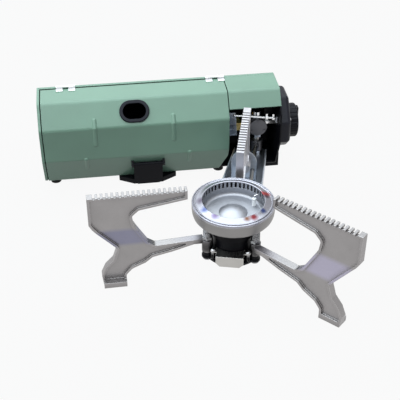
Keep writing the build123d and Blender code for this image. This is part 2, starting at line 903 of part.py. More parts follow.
def rod_clips():
    """Clips on the link rod, each on a small post."""
    clips = []
    for share in clip_place_shares:
        middle = link_point(share)
        half = clip_length / 2
        slope = link_drop_share * half
        start = (middle[0] - half, middle[1], middle[2] + slope)
        end = (middle[0] + half, middle[1], middle[2] - slope)
        clip = rod(start, end, clip_radius)
        clip += block(middle[0] - clip_post_width / 2, middle[0] + clip_post_width / 2,
                      middle[1] - clip_post_width / 2, middle[1] + clip_post_width / 2,
                      middle[2], middle[2] + 2 * clip_radius)
        clips.append(clip - rod(link_point(0), link_point(1), link_rod_radius + running_clearance))
    return group(clips)


def clip_post():
    """Strap from the right bulkhead that carries the end of the link rod."""
    end = link_point(1)
    left = end[0] + seat_gap
    low, high = end[2] - 2 * clip_radius, end[2] + clip_radius
    rear = link_y + clip_radius + seat_gap + bracket_sheet
    plate = block(left, bulkhead_left, rear - bracket_sheet, rear, low, high)
    return plate + block(left, left + bracket_sheet, link_y - clip_radius, rear, low, high)


def valve_spindle():
    """Spindle from the regulator to the knob."""
    end = roof_right + panel_length + knob_gap + knob_socket_depth
    return gas_axis_rod(regulator_right - spindle_entry, end, spindle_radius)


def igniter_cam():
    """Cam disc on the spindle that pushes the igniter plunger."""
    left = roof_right + cam_from_bulkhead
    disc = gas_axis_rod(left, left + cam_thickness, cam_radius)
    return disc - gas_axis_rod(left, left + cam_thickness, spindle_radius + running_clearance)


def control_knob():
    """Round knob with fluted rim and a grip ridge across its face."""
    left = roof_right + panel_length + knob_gap
    right = left + knob_length
    knob = gas_axis_rod(left, right, knob_radius)
    knob = fillet(knob.faces().sort_by(Axis.X)[-1].edges(), knob_round)
    knob += block(right - knob_round, right + knob_ridge_height, gas_axis_y - knob_ridge_width / 2,
                  gas_axis_y + knob_ridge_width / 2, gas_axis_z - knob_radius + knob_round,
                  gas_axis_z + knob_radius - knob_round)
    flute_circle = knob_radius + knob_flute_radius - knob_flute_depth
    flutes = []
    for index in range(knob_flutes):
        angle = radians(360 * (index + 0.5) / knob_flutes)
        y = gas_axis_y + flute_circle * cos(angle)
        z = gas_axis_z + flute_circle * sin(angle)
        flutes.append(rod((left - overrun, y, z), (right + overrun, y, z), knob_flute_radius))
    socket = gas_axis_rod(left, left + knob_socket_depth + play, spindle_radius + running_clearance)
    return knob - flutes - socket


def panel_points(wall):
    """Corners of the side panel's section, drawn in by its wall."""
    front, rear = housing_front + panel_inset, housing_rear - panel_inset
    low, top = foot_height + panel_lift, housing_top - panel_drop
    corners = [
        (front + front_bevel_depth, top), (front, top - front_bevel_height),
        (front, low + sill_bevel_height - panel_lift), (front + sill_bevel_depth - panel_inset, low),
        (rear - sill_bevel_depth + panel_inset, low), (rear, low + sill_bevel_height - panel_lift),
        (rear, top - rear_bevel_height), (rear - rear_bevel_depth, top),
    ]
    return shifted_path(corners, wall, closed=True) if wall else corners


def side_panel():
    """Dark cover over the right end, with the bush of the spindle."""
    right = roof_right + panel_length
    cover = prism_x(panel_points(0), roof_right, right)
    cover = fillet(cover.edges().filter_by(Axis.X) + cover.faces().sort_by(Axis.X)[-1].edges(), panel_round)
    cover -= prism_x(panel_points(panel_wall), roof_right - overrun, right - panel_wall)
    bore = spindle_radius + running_clearance
    return cover - gas_axis_rod(right - panel_wall - overrun, right + overrun, bore)


igniter_y = gas_axis_y + igniter_offset_y
igniter_z = gas_axis_z + igniter_offset_z
plunger_tip = roof_right + plunger_stand


def piezo_igniter():
    """Igniter block on the bulkhead with the bore of its plunger."""
    half = igniter_side / 2
    body = block(bulkhead_left - igniter_length, bulkhead_left, igniter_y - half, igniter_y + half,
                 igniter_z - half, igniter_z + half)
    bottom = plunger_tip - plunger_length - plunger_travel - seat_gap
    bore = rod((bottom, igniter_y, igniter_z), (bulkhead_left, igniter_y, igniter_z),
               plunger_radius + running_clearance)
    return body - bore


def igniter_plunger():
    """Plunger of the igniter."""
    return rod((plunger_tip - plunger_length, igniter_y, igniter_z), (plunger_tip, igniter_y, igniter_z),
               plunger_radius)


def dome(x, y, z, radius, rise, direction):
    """Low domed screw or rivet head that stands on a point."""
    ball = (radius**2 + rise**2) / (2 * rise)
    plane = Plane(origin=(x, y, z), z_dir=direction)
    cap = plane * (Pos(0, 0, rise - ball) * Sphere(ball))
    keep = extrude(plane * Circle(radius + overrun), amount=rise + overrun)
    return cap & keep


def housing_screws():
    """Screws of the left end plate and of the side panel."""
    screws = []
    for share_y, share_z in end_screw_shares:
        y = housing_front + share_y * housing_depth
        z = foot_height + share_z * housing_height
        screws.append(dome(end_plate_left, y, z, screw_radius, screw_rise, (-1, 0, 0)))
    for share_y, share_z in panel_screw_shares:
        y = housing_front + share_y * housing_depth
        z = foot_height + panel_lift + share_z * (housing_height - panel_lift - panel_drop)
        screws.append(dome(roof_right + panel_length, y, z, screw_radius, screw_rise, (1, 0, 0)))
    return group(screws)


def at_pivot(z):
    """Point on the arm's pivot axis."""
    return (pivot[0], pivot[1], z)


pin_head_bottom = arm_floor + play
pin_head_top = pin_head_bottom + pivot_head_height
elbow_bottom = pin_head_top + elbow_gap
elbow_top = elbow_bottom + elbow_height


def arm_pivot_bush():
    """Bush on the floor under the arm."""
    return tube(at_pivot(liner_top), at_pivot(arm_underside - play), pivot_bush_radius,
                pivot_pin_radius + running_clearance)


def arm_pivot_pin():
    """Pin through the bush and the arm, with a hexagonal head."""
    shaft = rod(at_pivot(liner_top), at_pivot(pin_head_bottom), pivot_pin_radius)
    return shaft + hex_rod(at_pivot(pin_head_bottom), at_pivot(pin_head_top), pivot_head_radius)


def gas_downpipe():
    """Pipe from the regulator down into the swivel elbow."""
    bottom = elbow_bottom + elbow_floor + downpipe_end_gap
    return tube(at_pivot(bottom), at_pivot(regulator_underside), downpipe_radius, downpipe_bore)


def union_nut():
    """Nut of the downpipe under the regulator."""
    low = regulator_underside - union_nut_height
    nut = hex_rod(at_pivot(low), at_pivot(regulator_underside), union_nut_radius)
    return nut - rod(at_pivot(low), at_pivot(regulator_underside), downpipe_radius + running_clearance)


def swivel_elbow():
    """Round elbow on the arm that turns about the downpipe."""
    body = rod((pivot_reach, gas_line_offset, elbow_bottom), (pivot_reach, gas_line_offset, elbow_top),
               elbow_radius)
    body += rod((pivot_reach - elbow_radius - overrun, gas_line_offset, pipe_z),
                (pivot_reach, gas_line_offset, pipe_z), gas_pipe_radius + arm_sheet)
    bore = rod((pivot_reach, gas_line_offset, elbow_bottom + elbow_floor),
               (pivot_reach, gas_line_offset, elbow_top), downpipe_radius + running_clearance)
    return arm_place * (body - bore)


def arm_edge(tail_half_width):
    """Outer edge of one side of the arm, from the burner to the tail."""
    return [(arm_flange_start, arm_root_half_width), (arm_waist, arm_waist_half_width),
            (arm_tail, tail_half_width)]


def arm_flange(tail_half_width):
    """Outline of one flange of the arm, seen from above."""
    edge = arm_edge(tail_half_width)
    return edge + list(reversed(shifted_path(edge, -arm_sheet)))


def mirrored(points):
    """The same points on the other side of the arm's middle line, in reverse order."""
    return [(x, -y) for x, y in reversed(points)]


def swing_arm():
    """Zinc plated channel: a tapered floor with a flange on each side and a pad round the pivot."""
    nose = [(0, arm_nose_radius)]
    left = nose + arm_edge(arm_left_tail_half_width)
    right = nose + arm_edge(arm_right_tail_half_width)
    floor = prism_z(left + mirrored(right), arm_underside, arm_floor)
    floor += rod((0, 0, arm_underside), (0, 0, arm_floor), arm_nose_radius)
    tail = [(arm_tail, arm_left_tail_half_width), (pivot_reach, pivot_pad_radius + gas_line_offset),
            (pivot_reach, gas_line_offset - pivot_pad_radius), (arm_tail, -arm_right_tail_half_width)]
    floor += prism_z(tail, arm_underside, arm_floor)
    floor += rod((pivot_reach, gas_line_offset, arm_underside), (pivot_reach, gas_line_offset, arm_floor),
                 pivot_pad_radius)
    floor += prism_z(arm_flange(arm_left_tail_half_width), arm_underside, arm_top)
    floor += prism_z(mirrored(arm_flange(arm_right_tail_half_width)), arm_underside, arm_top)
    holes = [(pivot_reach, gas_line_offset, pivot_pin_radius), (post_circle, 0, post_radius)]
    for x, y, radius in holes:
        floor -= rod((x, y, arm_underside - overrun), (x, y, arm_floor + overrun), radius + running_clearance)
    return arm_place * floor


nozzle_start = mixer_start + mixer_length


def gas_line_rod(x_low, x_high, radius):
    """Rod on the gas line of the arm."""
    return rod((x_low, gas_line_offset, pipe_z), (x_high, gas_line_offset, pipe_z), radius)


def gas_pipe():
    """Pipe along the arm from the elbow to the nozzle."""
    return arm_place * gas_line_rod(nozzle_start + nozzle_length, pivot_reach - elbow_radius - overrun,
                                    gas_pipe_radius)


def gas_nozzle():
    """Brass nozzle with its tip in the mixing tube."""
    body = hex_rod((nozzle_start, gas_line_offset, pipe_z), (nozzle_start + nozzle_length, gas_line_offset, pipe_z),
                   nozzle_radius)
    return arm_place * (body + gas_line_rod(nozzle_start - nozzle_tip_length, nozzle_start, nozzle_tip_radius))


def mixing_tube():
    """Tube where air joins the gas, with two air holes."""
    body = gas_line_rod(mixer_start, nozzle_start, mixer_radius)
    body -= gas_line_rod(mixer_start, nozzle_start, mixer_bore)
    x = nozzle_start - mixer_radius
    body -= rod((x, gas_line_offset, pipe_z - mixer_radius - overrun),
                (x, gas_line_offset, pipe_z + mixer_radius + overrun), mixer_window_radius)
    return arm_place * body


def pipe_rest():
    """Small block that carries the pipe on the arm floor."""
    start, end = ear_reach + ear_foot_length, pivot_reach - elbow_radius
    x = start + pipe_rest_share * (end - start)
    half = gas_pipe_radius + arm_sheet
    return arm_place * block(x, x + pipe_rest_length, gas_line_offset - half, gas_line_offset + half,
                             arm_floor, pipe_z - gas_pipe_radius - play)


def post_spots():
    """Places of the three posts in the arm frame, the one towards the pivot first."""
    return [(post_circle * cos(radians(turn * post_spread)), post_circle * sin(radians(turn * post_spread)))
            for turn in (0, 1, -1)]


def on_posts(maker):
    """One piece on each post, made by a function of the post's number and place."""
    return arm_place * group([maker(number, x, y) for number, (x, y) in enumerate(post_spots())])


def post_bottom(number):
    """Underside that the head of a post bears on: the disc, or the arm floor for the rear one."""
    return disc_underside if number else arm_underside


def burner_posts():
    """Three threaded posts, each with a head below."""
    def make(number, x, y):
        low = post_bottom(number)
        shaft = rod((x, y, low), (x, y, pan_underside), post_radius)
        return shaft + rod((x, y, low - post_head_height), (x, y, low), post_head_radius)
    return on_posts(make)


def post_sleeve(x, y, low, high, radius):
    """Sleeve round a post."""
    return tube((x, y, low), (x, y, high), radius, post_radius + running_clearance)


def post_washers():
    """Spacer under each leg knuckle, and the long spacer of the third post."""
    def make(number, x, y):
        top = knuckle_underside - play if number else knuckle_top
        radius = post_washer_radius if number else post_sleeve_radius
        return post_sleeve(x, y, disc_top, top, radius)
    return on_posts(make)


def post_nuts():
    """Nut above each leg knuckle."""
    def make(number, x, y):
        low = knuckle_top + (play if number else 0)
        nut = hex_rod((x, y, low), (x, y, low + post_nut_height), post_nut_radius)
        return nut - rod((x, y, low), (x, y, low + post_nut_height), post_radius + running_clearance)
    return on_posts(make)


def post_sleeves():
    """Sleeve between each nut and the burner pan, stepped like a ribbed spacer."""
    def make(number, x, y):
        low = knuckle_top + post_nut_height + play
        step = (pan_underside - low) / 6
        sleeve = post_sleeve(x, y, low, pan_underside, post_sleeve_radius - step / 4)
        for turn in (0, 2, 4):
            start = low + (turn + 0.5) * step
            sleeve += post_sleeve(x, y, start, start + step, post_sleeve_radius)
        return sleeve
    return on_posts(make)


def base_disc():
    """Black disc under the burner, with a lobe round each post, on a short stand."""
    disc = rod((0, 0, disc_underside), (0, 0, disc_top), disc_radius)
    disc += rod((0, 0, arm_floor), (0, 0, disc_underside), disc_stand_radius)
    for x, y in post_spots():
        disc += rod((x, y, disc_underside), (x, y, disc_top), disc_lobe_radius)
    for x, y in post_spots():
        disc -= rod((x, y, disc_underside - overrun), (x, y, disc_top + overrun), post_radius + running_clearance)
    return arm_place * disc


def burner_drum():
    """Black mixing drum, wider at its foot and at its head, with the socket of the mixing tube."""
    foot_top = disc_top + drum_foot_height
    head_low = knuckle_top + post_nut_height + play
    drum = rod((0, 0, disc_top), (0, 0, foot_top), drum_foot_radius)
    drum += rod((0, 0, foot_top), (0, 0, head_low), drum_radius)
    drum += rod((0, 0, head_low), (0, 0, pan_underside), drum_foot_radius)
    drum += gas_line_rod(drum_radius / 2, mixer_start, mixer_radius)
    drum -= rod((0, 0, disc_top + drum_wall), (0, 0, pan_underside), drum_radius - drum_wall)
    return arm_place * (drum - gas_line_rod(0, mixer_start, mixer_bore))


def burner_pan():
    """Satin side band and underside of the burner."""
    rim_top = pan_underside + pan_height
    foot = pan_rim_radius - pan_taper / 2
    outer = [(foot, pan_underside), (pan_rim_radius, pan_underside + pan_sheet),
             (pan_radius - pan_sheet / 4, pan_underside + pan_bevel_height), (pan_radius, rim_top)]
    inner = shifted_path(outer, pan_sheet)
    inner[-1] = (pan_radius - pan_sheet, rim_top)
    points = [(pan_hole_radius, pan_underside)] + outer + list(reversed(inner[1:]))
    points += [(inner[0][0], bowl_seat), (pan_hole_radius, bowl_seat)]
    return turned(points)


def burner_bowl():
    """Bowl with a dome in its floor and a wall of flame slots."""
    inner = bowl_radius - bowl_wall
    floor_edge = inner - bowl_corner
    ball = (bowl_dome_radius**2 + bowl_dome_rise**2) / (2 * bowl_dome_rise)
    dome_middle = bowl_inner_floor + bowl_dome_rise - ball + sqrt(ball**2 - (bowl_dome_radius / 2) ** 2)
    skin = [Line((0, bowl_seat), (floor_edge, bowl_seat)),
            Line((floor_edge, bowl_seat), (bowl_radius, bowl_seat + bowl_corner)),
            Line((bowl_radius, bowl_seat + bowl_corner), (bowl_radius, bowl_top)),
            Line((bowl_radius, bowl_top), (inner, bowl_top)),
            Line((inner, bowl_top), (inner, bowl_inner_floor + bowl_corner)),
            RadiusArc((inner, bowl_inner_floor + bowl_corner), (floor_edge, bowl_inner_floor), bowl_corner),
            Line((floor_edge, bowl_inner_floor), (bowl_dome_radius, bowl_inner_floor)),
            ThreePointArc((bowl_dome_radius, bowl_inner_floor), (bowl_dome_radius / 2, dome_middle),
                          (0, bowl_inner_floor + bowl_dome_rise)),
            Line((0, bowl_inner_floor + bowl_dome_rise), (0, bowl_seat))]
    bowl = revolve(Plane.XZ * make_face(skin), Axis.Z)
    slot = Pos(inner, 0, bowl_top - slot_height) * Box(
        2 * bowl_wall + 2 * overrun, slot_width, slot_height + overrun, align=(Align.CENTER, Align.CENTER, Align.MIN))
    slots = [Rot(0, 0, 360 * index / slot_count) * slot for index in range(slot_count)]
    return bowl - slots


def burner_ring():
    """Polished ring over the slots, with two beads near its rim."""
    inner = bowl_radius - bowl_wall - ring_overlap
    width = pan_radius - inner
    top = bowl_top + ring_thickness

    def on_ring(share, sink):
        return (inner + share * width, top - share * ring_fall - sink)
    beads = [on_ring(share, ring_groove_depth * (place % 2)) for place, share in enumerate(ring_groove_shares)]
    rim = pan_underside + pan_height
    points = [(inner, bowl_top), (inner, top - ring_thickness / 4), on_ring(0.08, 0)]
    points += beads + [on_ring(0.93, 0), (pan_radius, rim + ring_skirt * 2), (pan_radius, rim)]
    points += [(pan_radius - pan_sheet, rim), (pan_radius - pan_sheet, rim + ring_skirt),
               (bowl_radius, bowl_top)]
    return turned(points)


def electrode_spot():
    """Foot of the electrode in the bowl."""
    angle = radians(electrode_azimuth)
    return (electrode_circle * cos(angle), electrode_circle * sin(angle))


def electrode_ceramic():
    """White ceramic of the electrode."""
    x, y = electrode_spot()
    body = rod((x, y, bowl_inner_floor), (x, y, bowl_inner_floor + ceramic_height), ceramic_radius)
    return fillet(body.faces().sort_by(Axis.Z)[-1].edges(), ceramic_radius / 3)


def electrode_wire():
    """Bare wire from the ceramic towards the slots."""
    x, y = electrode_spot()
    low = bowl_inner_floor + ceramic_height
    share = (electrode_circle + electrode_reach) / electrode_circle
    bend = (x, y, low + electrode_rise)
    return capsule([(x, y, low + electrode_wire_radius), bend, (x * share, y * share, low + electrode_rise)],
                   electrode_wire_radius)


stop_underside = stop_top - stop_sheet
stop_front = disc_radius + seat_gap + stop_sheet


def leg_stop_bracket():
    """Stainless bracket in front of the drum that stops the legs, with two round ears."""
    half, low = stop_width / 2, stop_top - stop_drop
    plate = block(-stop_front, -stop_back, -half, half, stop_underside, stop_top)
    plate += block(-stop_rivet_reach - stop_ear_radius, -stop_rivet_reach + stop_ear_radius,
                   -stop_rivet_side, stop_rivet_side, stop_underside, stop_top)
    for sign in (-1, 1):
        x, y = -stop_rivet_reach, sign * stop_rivet_side
        plate += rod((x, y, stop_underside), (x, y, stop_top), stop_ear_radius)
    plate -= rod((0, 0, stop_underside - overrun), (0, 0, stop_top + overrun), drum_radius + seat_gap)
    apron = [(-half, stop_underside), (half, stop_underside), (half, low + stop_corner),
             (half - stop_corner, low), (stop_corner - half, low), (-half, low + stop_corner)]
    plate += Pos(-stop_front, 0, 0) * extrude(outline(apron, Plane.YZ), amount=stop_sheet, dir=(1, 0, 0))
    return arm_place * plate


def stop_pillars():
    """Pillars under the ears of the stop bracket."""
    return arm_place * group([
        rod((-stop_rivet_reach, sign * stop_rivet_side, disc_top),
            (-stop_rivet_reach, sign * stop_rivet_side, stop_underside), stop_pillar_radius)
        for sign in (-1, 1)])


def stop_rivets():
    """Domed heads on the ears of the stop bracket."""
    return arm_place * group([
        dome(-stop_rivet_reach, sign * stop_rivet_side, stop_top, stop_head_radius, stop_head_rise, (0, 0, 1))
        for sign in (-1, 1)])


def teeth_cut(start, end, half_width):
    """Notches across the top of a casting, at an even pitch."""
    gap = tooth_pitch * tooth_gap_share
    count = int((end - start) / tooth_pitch)
    return [block(start + index * tooth_pitch, start + index * tooth_pitch + gap, -half_width, half_width,
                  support_height - tooth_depth, support_height + overrun) for index in range(count)]


def jogged(inner, outer, x_high):
    """Slab along a leg between two distances from its middle plane, which steps sideways with height."""
    jog_top = jog_foot + jog_height
    top = support_height + overrun
    levels = [(0, -overrun), (0, jog_foot), (leg_jog, jog_top), (leg_jog, top)]
    near = [(side - leg_sideways + inner, level) for side, level in levels]
    far = [(side - leg_sideways + outer, level) for side, level in reversed(levels)]
    return prism_x(near + far, -overrun, x_high)


def softened(points):
    """Outline in X and Z with its hollow corners rounded."""
    grown = offset(outline(points, Plane.XZ), amount=corner_round)
    return offset(grown, amount=-corner_round)


def rimmed(shape):
    """Outline drawn in by the width of the rim, with all its corners rounded."""
    return offset(offset(shape, amount=-rim_width - pocket_round), amount=pocket_round)


def slab(shape, y_low, y_high):
    """Outline in X and Z, drawn along Y."""
    return Pos(0, y_low, 0) * extrude(shape, amount=y_high - y_low, dir=(0, 1, 0))


def leg_points():
    """Outline of a leg: its root keeps to the knuckle, and the rest follows the reach and the height."""
    low = knuckle_underside + leg_root_underside_rise
    high = knuckle_underside + leg_root_top_rise
    start, under, over = [share * leg_reach for share in leg_root_shares]
    points = scaled(leg_outline_shares, 0, leg_reach, 0, support_height)
    return [(start, low), (under, low)] + points + [(over, high), (start, high)]


def leg():
    """Folding leg in its own frame: the post axis is the Z axis, and the leg points along +X."""
    points = leg_points()
    shape = softened(points)
    half, web = rim_thickness / 2, web_thickness / 2
    reach = leg_reach + overrun
    wide = rim_thickness + leg_sideways + leg_jog
    body = slab(shape, -wide, wide) & jogged(-half, half, reach)
    pocket = slab(rimmed(shape), -wide, wide)
    body -= pocket & jogged(web, half + overrun, reach)
    body -= pocket & jogged(-half - overrun, -web, reach)
    body -= teeth_cut(leg_tooth_start + tooth_pitch / 2, leg_reach - leg_tooth_plain, wide)
    foot_start = min(x for x, z in points if z == 0)
    low_side = -leg_sideways - half
    body += block(foot_start, foot_start + foot_pad_length, low_side, low_side + foot_pad_width, 0, foot_pad_height)
    body += rod((0, 0, knuckle_underside), (0, 0, knuckle_top), knuckle_radius_leg)
    bore = rod((0, 0, knuckle_underside - overrun), (0, 0, knuckle_top + overrun), post_radius + running_clearance)
    return body - bore


def placed_leg(post_number, azimuth):
    """Leg on its post, pointing along an azimuth."""
    x, y = post_spots()[post_number]
    spot = arm_point(x, y, 0)
    return Pos(*spot) * Rot(0, 0, azimuth) * leg()


def fixing_rod(x_low, x_high, radius):
    """Rod along the arm on the axis of the screw that fixes the rear casting."""
    z = arm_floor + ear_centre_rise
    return rod((x_low, rear_side_step, z), (x_high, rear_side_step, z), radius)


def rear_points():
    """Outline of the rear casting: its column ends beside the lug, and the rest follows the height."""
    reach, height = rear_reach - rear_inner, support_height - arm_floor
    top = scaled(rear_top_shares, rear_inner, reach, arm_floor, height)
    bottom = scaled(rear_bottom_shares, rear_inner, reach, arm_floor, height)
    outer, inner = [rear_inner + share * reach for share in rear_column_side_shares]
    shoulder = arm_floor + rear_column_shoulder_rise
    foot = [(rear_inner + share * reach, arm_floor + rear_column_foot_rise) for share in rear_column_foot_shares]
    return top + [(outer, shoulder)] + foot + [(inner, shoulder)] + bottom


def rear_support():
    """Toothed casting over the arm, with a foot at the burner and a lug on the upright plate."""
    half, web = rim_thickness / 2, web_thickness / 2
    shape = softened(rear_points())
    body = slab(shape, -half, half)
    pocket = rimmed(shape)
    body -= slab(pocket, web, half + overrun)
    body -= slab(pocket, -half - overrun, -web)
    body -= teeth_cut(rear_inner + rear_tooth_plain, rear_reach - rear_tooth_plain, rim_thickness)
    body = Pos(0, rear_side_step, 0) * body
    body += fixing_rod(ear_reach - lug_length, ear_reach, lug_radius)
    bore = fixing_rod(ear_reach - fixing_entry - play, ear_reach, fixing_radius + running_clearance)
    return arm_place * (body - bore)


def support_plate():
    """Upright round-topped plate across the arm behind the rear casting, with its foot on the arm."""
    back = ear_reach + ear_sheet
    centre_z = arm_floor + ear_centre_rise
    plate = block(ear_reach, back, -ear_radius, ear_radius, arm_floor, centre_z)
    plate += rod((ear_reach, 0, centre_z), (back, 0, centre_z), ear_radius)
    plate += block(ear_reach, ear_reach + ear_foot_length, -ear_radius, ear_radius,
                   arm_floor, arm_floor + ear_sheet)
    plate -= gas_line_rod(ear_reach - overrun, back + overrun, gas_pipe_radius + seat_gap)
    return arm_place * (plate - fixing_rod(ear_reach, back, fixing_radius + running_clearance))


def fixing_screw():
    """Screw through the upright plate into the lug of the rear casting, with a hexagonal head."""
    back = ear_reach + ear_sheet
    z = arm_floor + ear_centre_rise
    screw = fixing_rod(ear_reach - fixing_entry, back, fixing_radius)
    return arm_place * (screw + hex_rod((back, rear_side_step, z), (back + fixing_head_height, rear_side_step, z),
                                        fixing_head_radius))


def arm_rivets():
    """Rivets that hold the upright plate on the arm."""
    x = ear_reach + (ear_sheet + ear_foot_length) / 2
    level = arm_floor + ear_sheet
    return arm_place * group([dome(x, sign * arm_rivet_side, level, arm_rivet_radius, arm_rivet_rise, (0, 0, 1))
                              for sign in (-1, 1)])


nodes = {
    "base_shell": base_shell(),
    "left_end_plate": left_end_plate(),
    "partition_wall": partition_wall(),
    "right_bulkhead": right_bulkhead(),
    "cartridge_liner": liner(end_rim_face, partition_left),
    "control_box_liner": liner(partition_right, bulkhead_left),
    "control_box_roof": control_box_roof(),
    "lid": lid(),
    "window_bezel": window_bezel(),
    "lid_hinge_leaves": hinge_leaves(False),
    "body_hinges": group([hinge_leaves(True), hinge_pins()]),
    "latch": latch(),
    "latch_mount": group([latch_ears(), latch_pin()]),
    "catch_foot": catch_foot(),
    "rubber_feet": feet(),
    "right_foot": right_foot(),
    "can_cradle": can_cradle(),
    "can_magnets": can_magnets(),
    "can_connector": can_connector(),
    "connector_seal": connector_seal(),
    "connector_bracket": connector_bracket(),
    "regulator_body": regulator_body(),
    "regulator_cap": regulator_cap(),
    "link_rod": link_rod(),
    "rod_clips": rod_clips(),
    "clip_post": clip_post(),
    "valve_spindle": valve_spindle(),
    "igniter_cam": igniter_cam(),
    "control_knob": control_knob(),
    "side_panel": side_panel(),
    "piezo_igniter": piezo_igniter(),
    "igniter_plunger": igniter_plunger(),
    "housing_screws": housing_screws(),
    "arm_pivot_bush": arm_pivot_bush(),
    "arm_pivot_pin": arm_pivot_pin(),
    "gas_downpipe": gas_downpipe(),
    "union_nut": union_nut(),
    "swing_arm": swing_arm(),
    "swivel_elbow": swivel_elbow(),
    "gas_pipe": gas_pipe(),
    "gas_nozzle": gas_nozzle(),
    "mixing_tube": mixing_tube(),
    "pipe_rest": pipe_rest(),
    "base_disc": base_disc(),
    "burner_drum": burner_drum(),
    "burner_pan": burner_pan(),
    "burner_bowl": burner_bowl(),
    "burner_ring": burner_ring(),
    "electrode_ceramic": electrode_ceramic(),
    "electrode_wire": electrode_wire(),
    "burner_posts": burner_posts(),
    "post_washers": post_washers(),
    "post_nuts": post_nuts(),
    "post_sleeves": post_sleeves(),
    "leg_stop_bracket": leg_stop_bracket(),
    "stop_pillars_and_rivets": group([stop_pillars(), stop_rivets()]),
    "rear_support": rear_support(),
    "rear_support_fixing": group([support_plate(), fixing_screw(), arm_rivets()]),
    "left_leg": placed_leg(1, left_leg_azimuth),
    "right_leg": placed_leg(2, right_leg_azimuth),
}

# The part's own frame: the origin lies under the middle of the whole part, on the ground
whole = group(nodes.values()).bounding_box()
to_part_frame = Pos(-whole.center().X, -whole.center().Y, -whole.min.Z)

os.makedirs("parts", exist_ok=True)
for name, shape in nodes.items():
    export_step(to_part_frame * shape, f"parts/{name}.step")
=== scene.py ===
"""Looks of a folding camping gas stove: refined meshes, finishes, studio and camera.

Lengths are in metres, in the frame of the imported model: +X along the housing towards the knob,
+Y from the burner to the housing, +Z up, with the ground at zero.
"""
from __future__ import annotations

import json
import logging
import math
from dataclasses import dataclass, replace
from enum import Enum

import bmesh
import bpy
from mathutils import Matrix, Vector

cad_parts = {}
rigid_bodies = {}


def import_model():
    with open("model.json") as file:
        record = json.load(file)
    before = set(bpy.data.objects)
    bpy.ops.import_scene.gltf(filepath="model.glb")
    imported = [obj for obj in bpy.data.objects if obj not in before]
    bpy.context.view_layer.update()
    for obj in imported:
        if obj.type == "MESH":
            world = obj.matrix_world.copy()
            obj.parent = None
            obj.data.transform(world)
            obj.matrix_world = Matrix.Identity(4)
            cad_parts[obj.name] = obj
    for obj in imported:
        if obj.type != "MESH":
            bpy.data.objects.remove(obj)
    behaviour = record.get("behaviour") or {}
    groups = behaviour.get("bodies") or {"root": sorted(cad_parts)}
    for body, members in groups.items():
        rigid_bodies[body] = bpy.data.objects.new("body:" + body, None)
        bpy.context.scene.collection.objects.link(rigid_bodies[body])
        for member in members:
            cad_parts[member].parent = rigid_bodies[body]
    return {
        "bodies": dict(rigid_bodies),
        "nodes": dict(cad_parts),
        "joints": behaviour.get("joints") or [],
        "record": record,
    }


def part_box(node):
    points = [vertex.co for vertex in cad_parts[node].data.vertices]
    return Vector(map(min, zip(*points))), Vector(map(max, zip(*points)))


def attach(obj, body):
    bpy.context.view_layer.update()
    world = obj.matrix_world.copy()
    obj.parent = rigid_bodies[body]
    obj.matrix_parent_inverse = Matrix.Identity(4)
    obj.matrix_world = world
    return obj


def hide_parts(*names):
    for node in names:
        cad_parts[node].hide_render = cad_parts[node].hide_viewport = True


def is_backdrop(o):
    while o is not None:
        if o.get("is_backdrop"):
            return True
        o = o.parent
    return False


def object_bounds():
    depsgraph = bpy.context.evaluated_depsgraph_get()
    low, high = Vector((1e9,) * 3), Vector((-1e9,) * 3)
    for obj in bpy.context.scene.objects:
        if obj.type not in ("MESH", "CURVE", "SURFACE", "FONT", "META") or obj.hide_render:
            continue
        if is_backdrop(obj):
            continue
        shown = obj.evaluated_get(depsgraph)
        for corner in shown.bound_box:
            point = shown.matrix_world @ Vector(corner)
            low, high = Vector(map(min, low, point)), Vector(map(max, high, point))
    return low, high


LOG = logging.getLogger("stove")
MERGED = 0.00001  # distance below which points are one
POLE = 0.000001  # radius below which a turned point is a pole
LEVEL = 1.5  # angle in degrees below which faces are one
BEVEL_BEND = 6  # angle in degrees that smooth shading bridges beyond that of a bevelled edge
LARGE_FACE = 0.00003  # least area of the faces beside a crease
CREASE = 12  # least angle of a crease in degrees

Colour = tuple[float, float, float]
Point2 = tuple[float, float]
Point3 = tuple[float, float, float]
Socket = bpy.types.NodeSocket
Material = bpy.types.Material
Piece = bpy.types.Object

NEAR_BLACK: Colour = (0.006, 0.006, 0.007)
MASK_SAMPLES = 4  # rays of a bevel or cavity mask
NOISE_CORE: Point2 = (0.3, 0.7)  # range that holds nearly all of a noise
MIXED_CORE: Point2 = (0.35, 0.65)  # the same for two noises mixed
FLAT_TO_EDGE: Point2 = (0.995, 0.90)  # likeness of true and rounded normal, from a flat to an edge
OPEN_TO_CORNER: Point2 = (0.95, 0.35)  # openness, from a clear stretch to a corner


class Grain(Enum):
    """Way in which a metal surface was worked, with the stretch of its grain on each axis."""

    CAST = (1, 1, 1)
    ROLLED = (8, 2, 2)
    ALONG_X = (40, 1, 1)
    ROUND = ()


class Side(Enum):
    """Side of the stove on which a leg stands: its node, its post and the colour of its flank, painted shade
    on the left and painted light on the right.
    """

    LEFT = ("left_leg", 1, (0.25, 0.25, 0.33))
    RIGHT = ("right_leg", 2, (0.43, 0.41, 0.51))


def toned(colour: Colour, gain: float, lift: float = 0.0, most: float = 1.0) -> Colour:
    """Colour with its parts multiplied by a gain, lifted, and held below a limit."""
    return tuple(min(most, gain * part + lift) for part in colour)


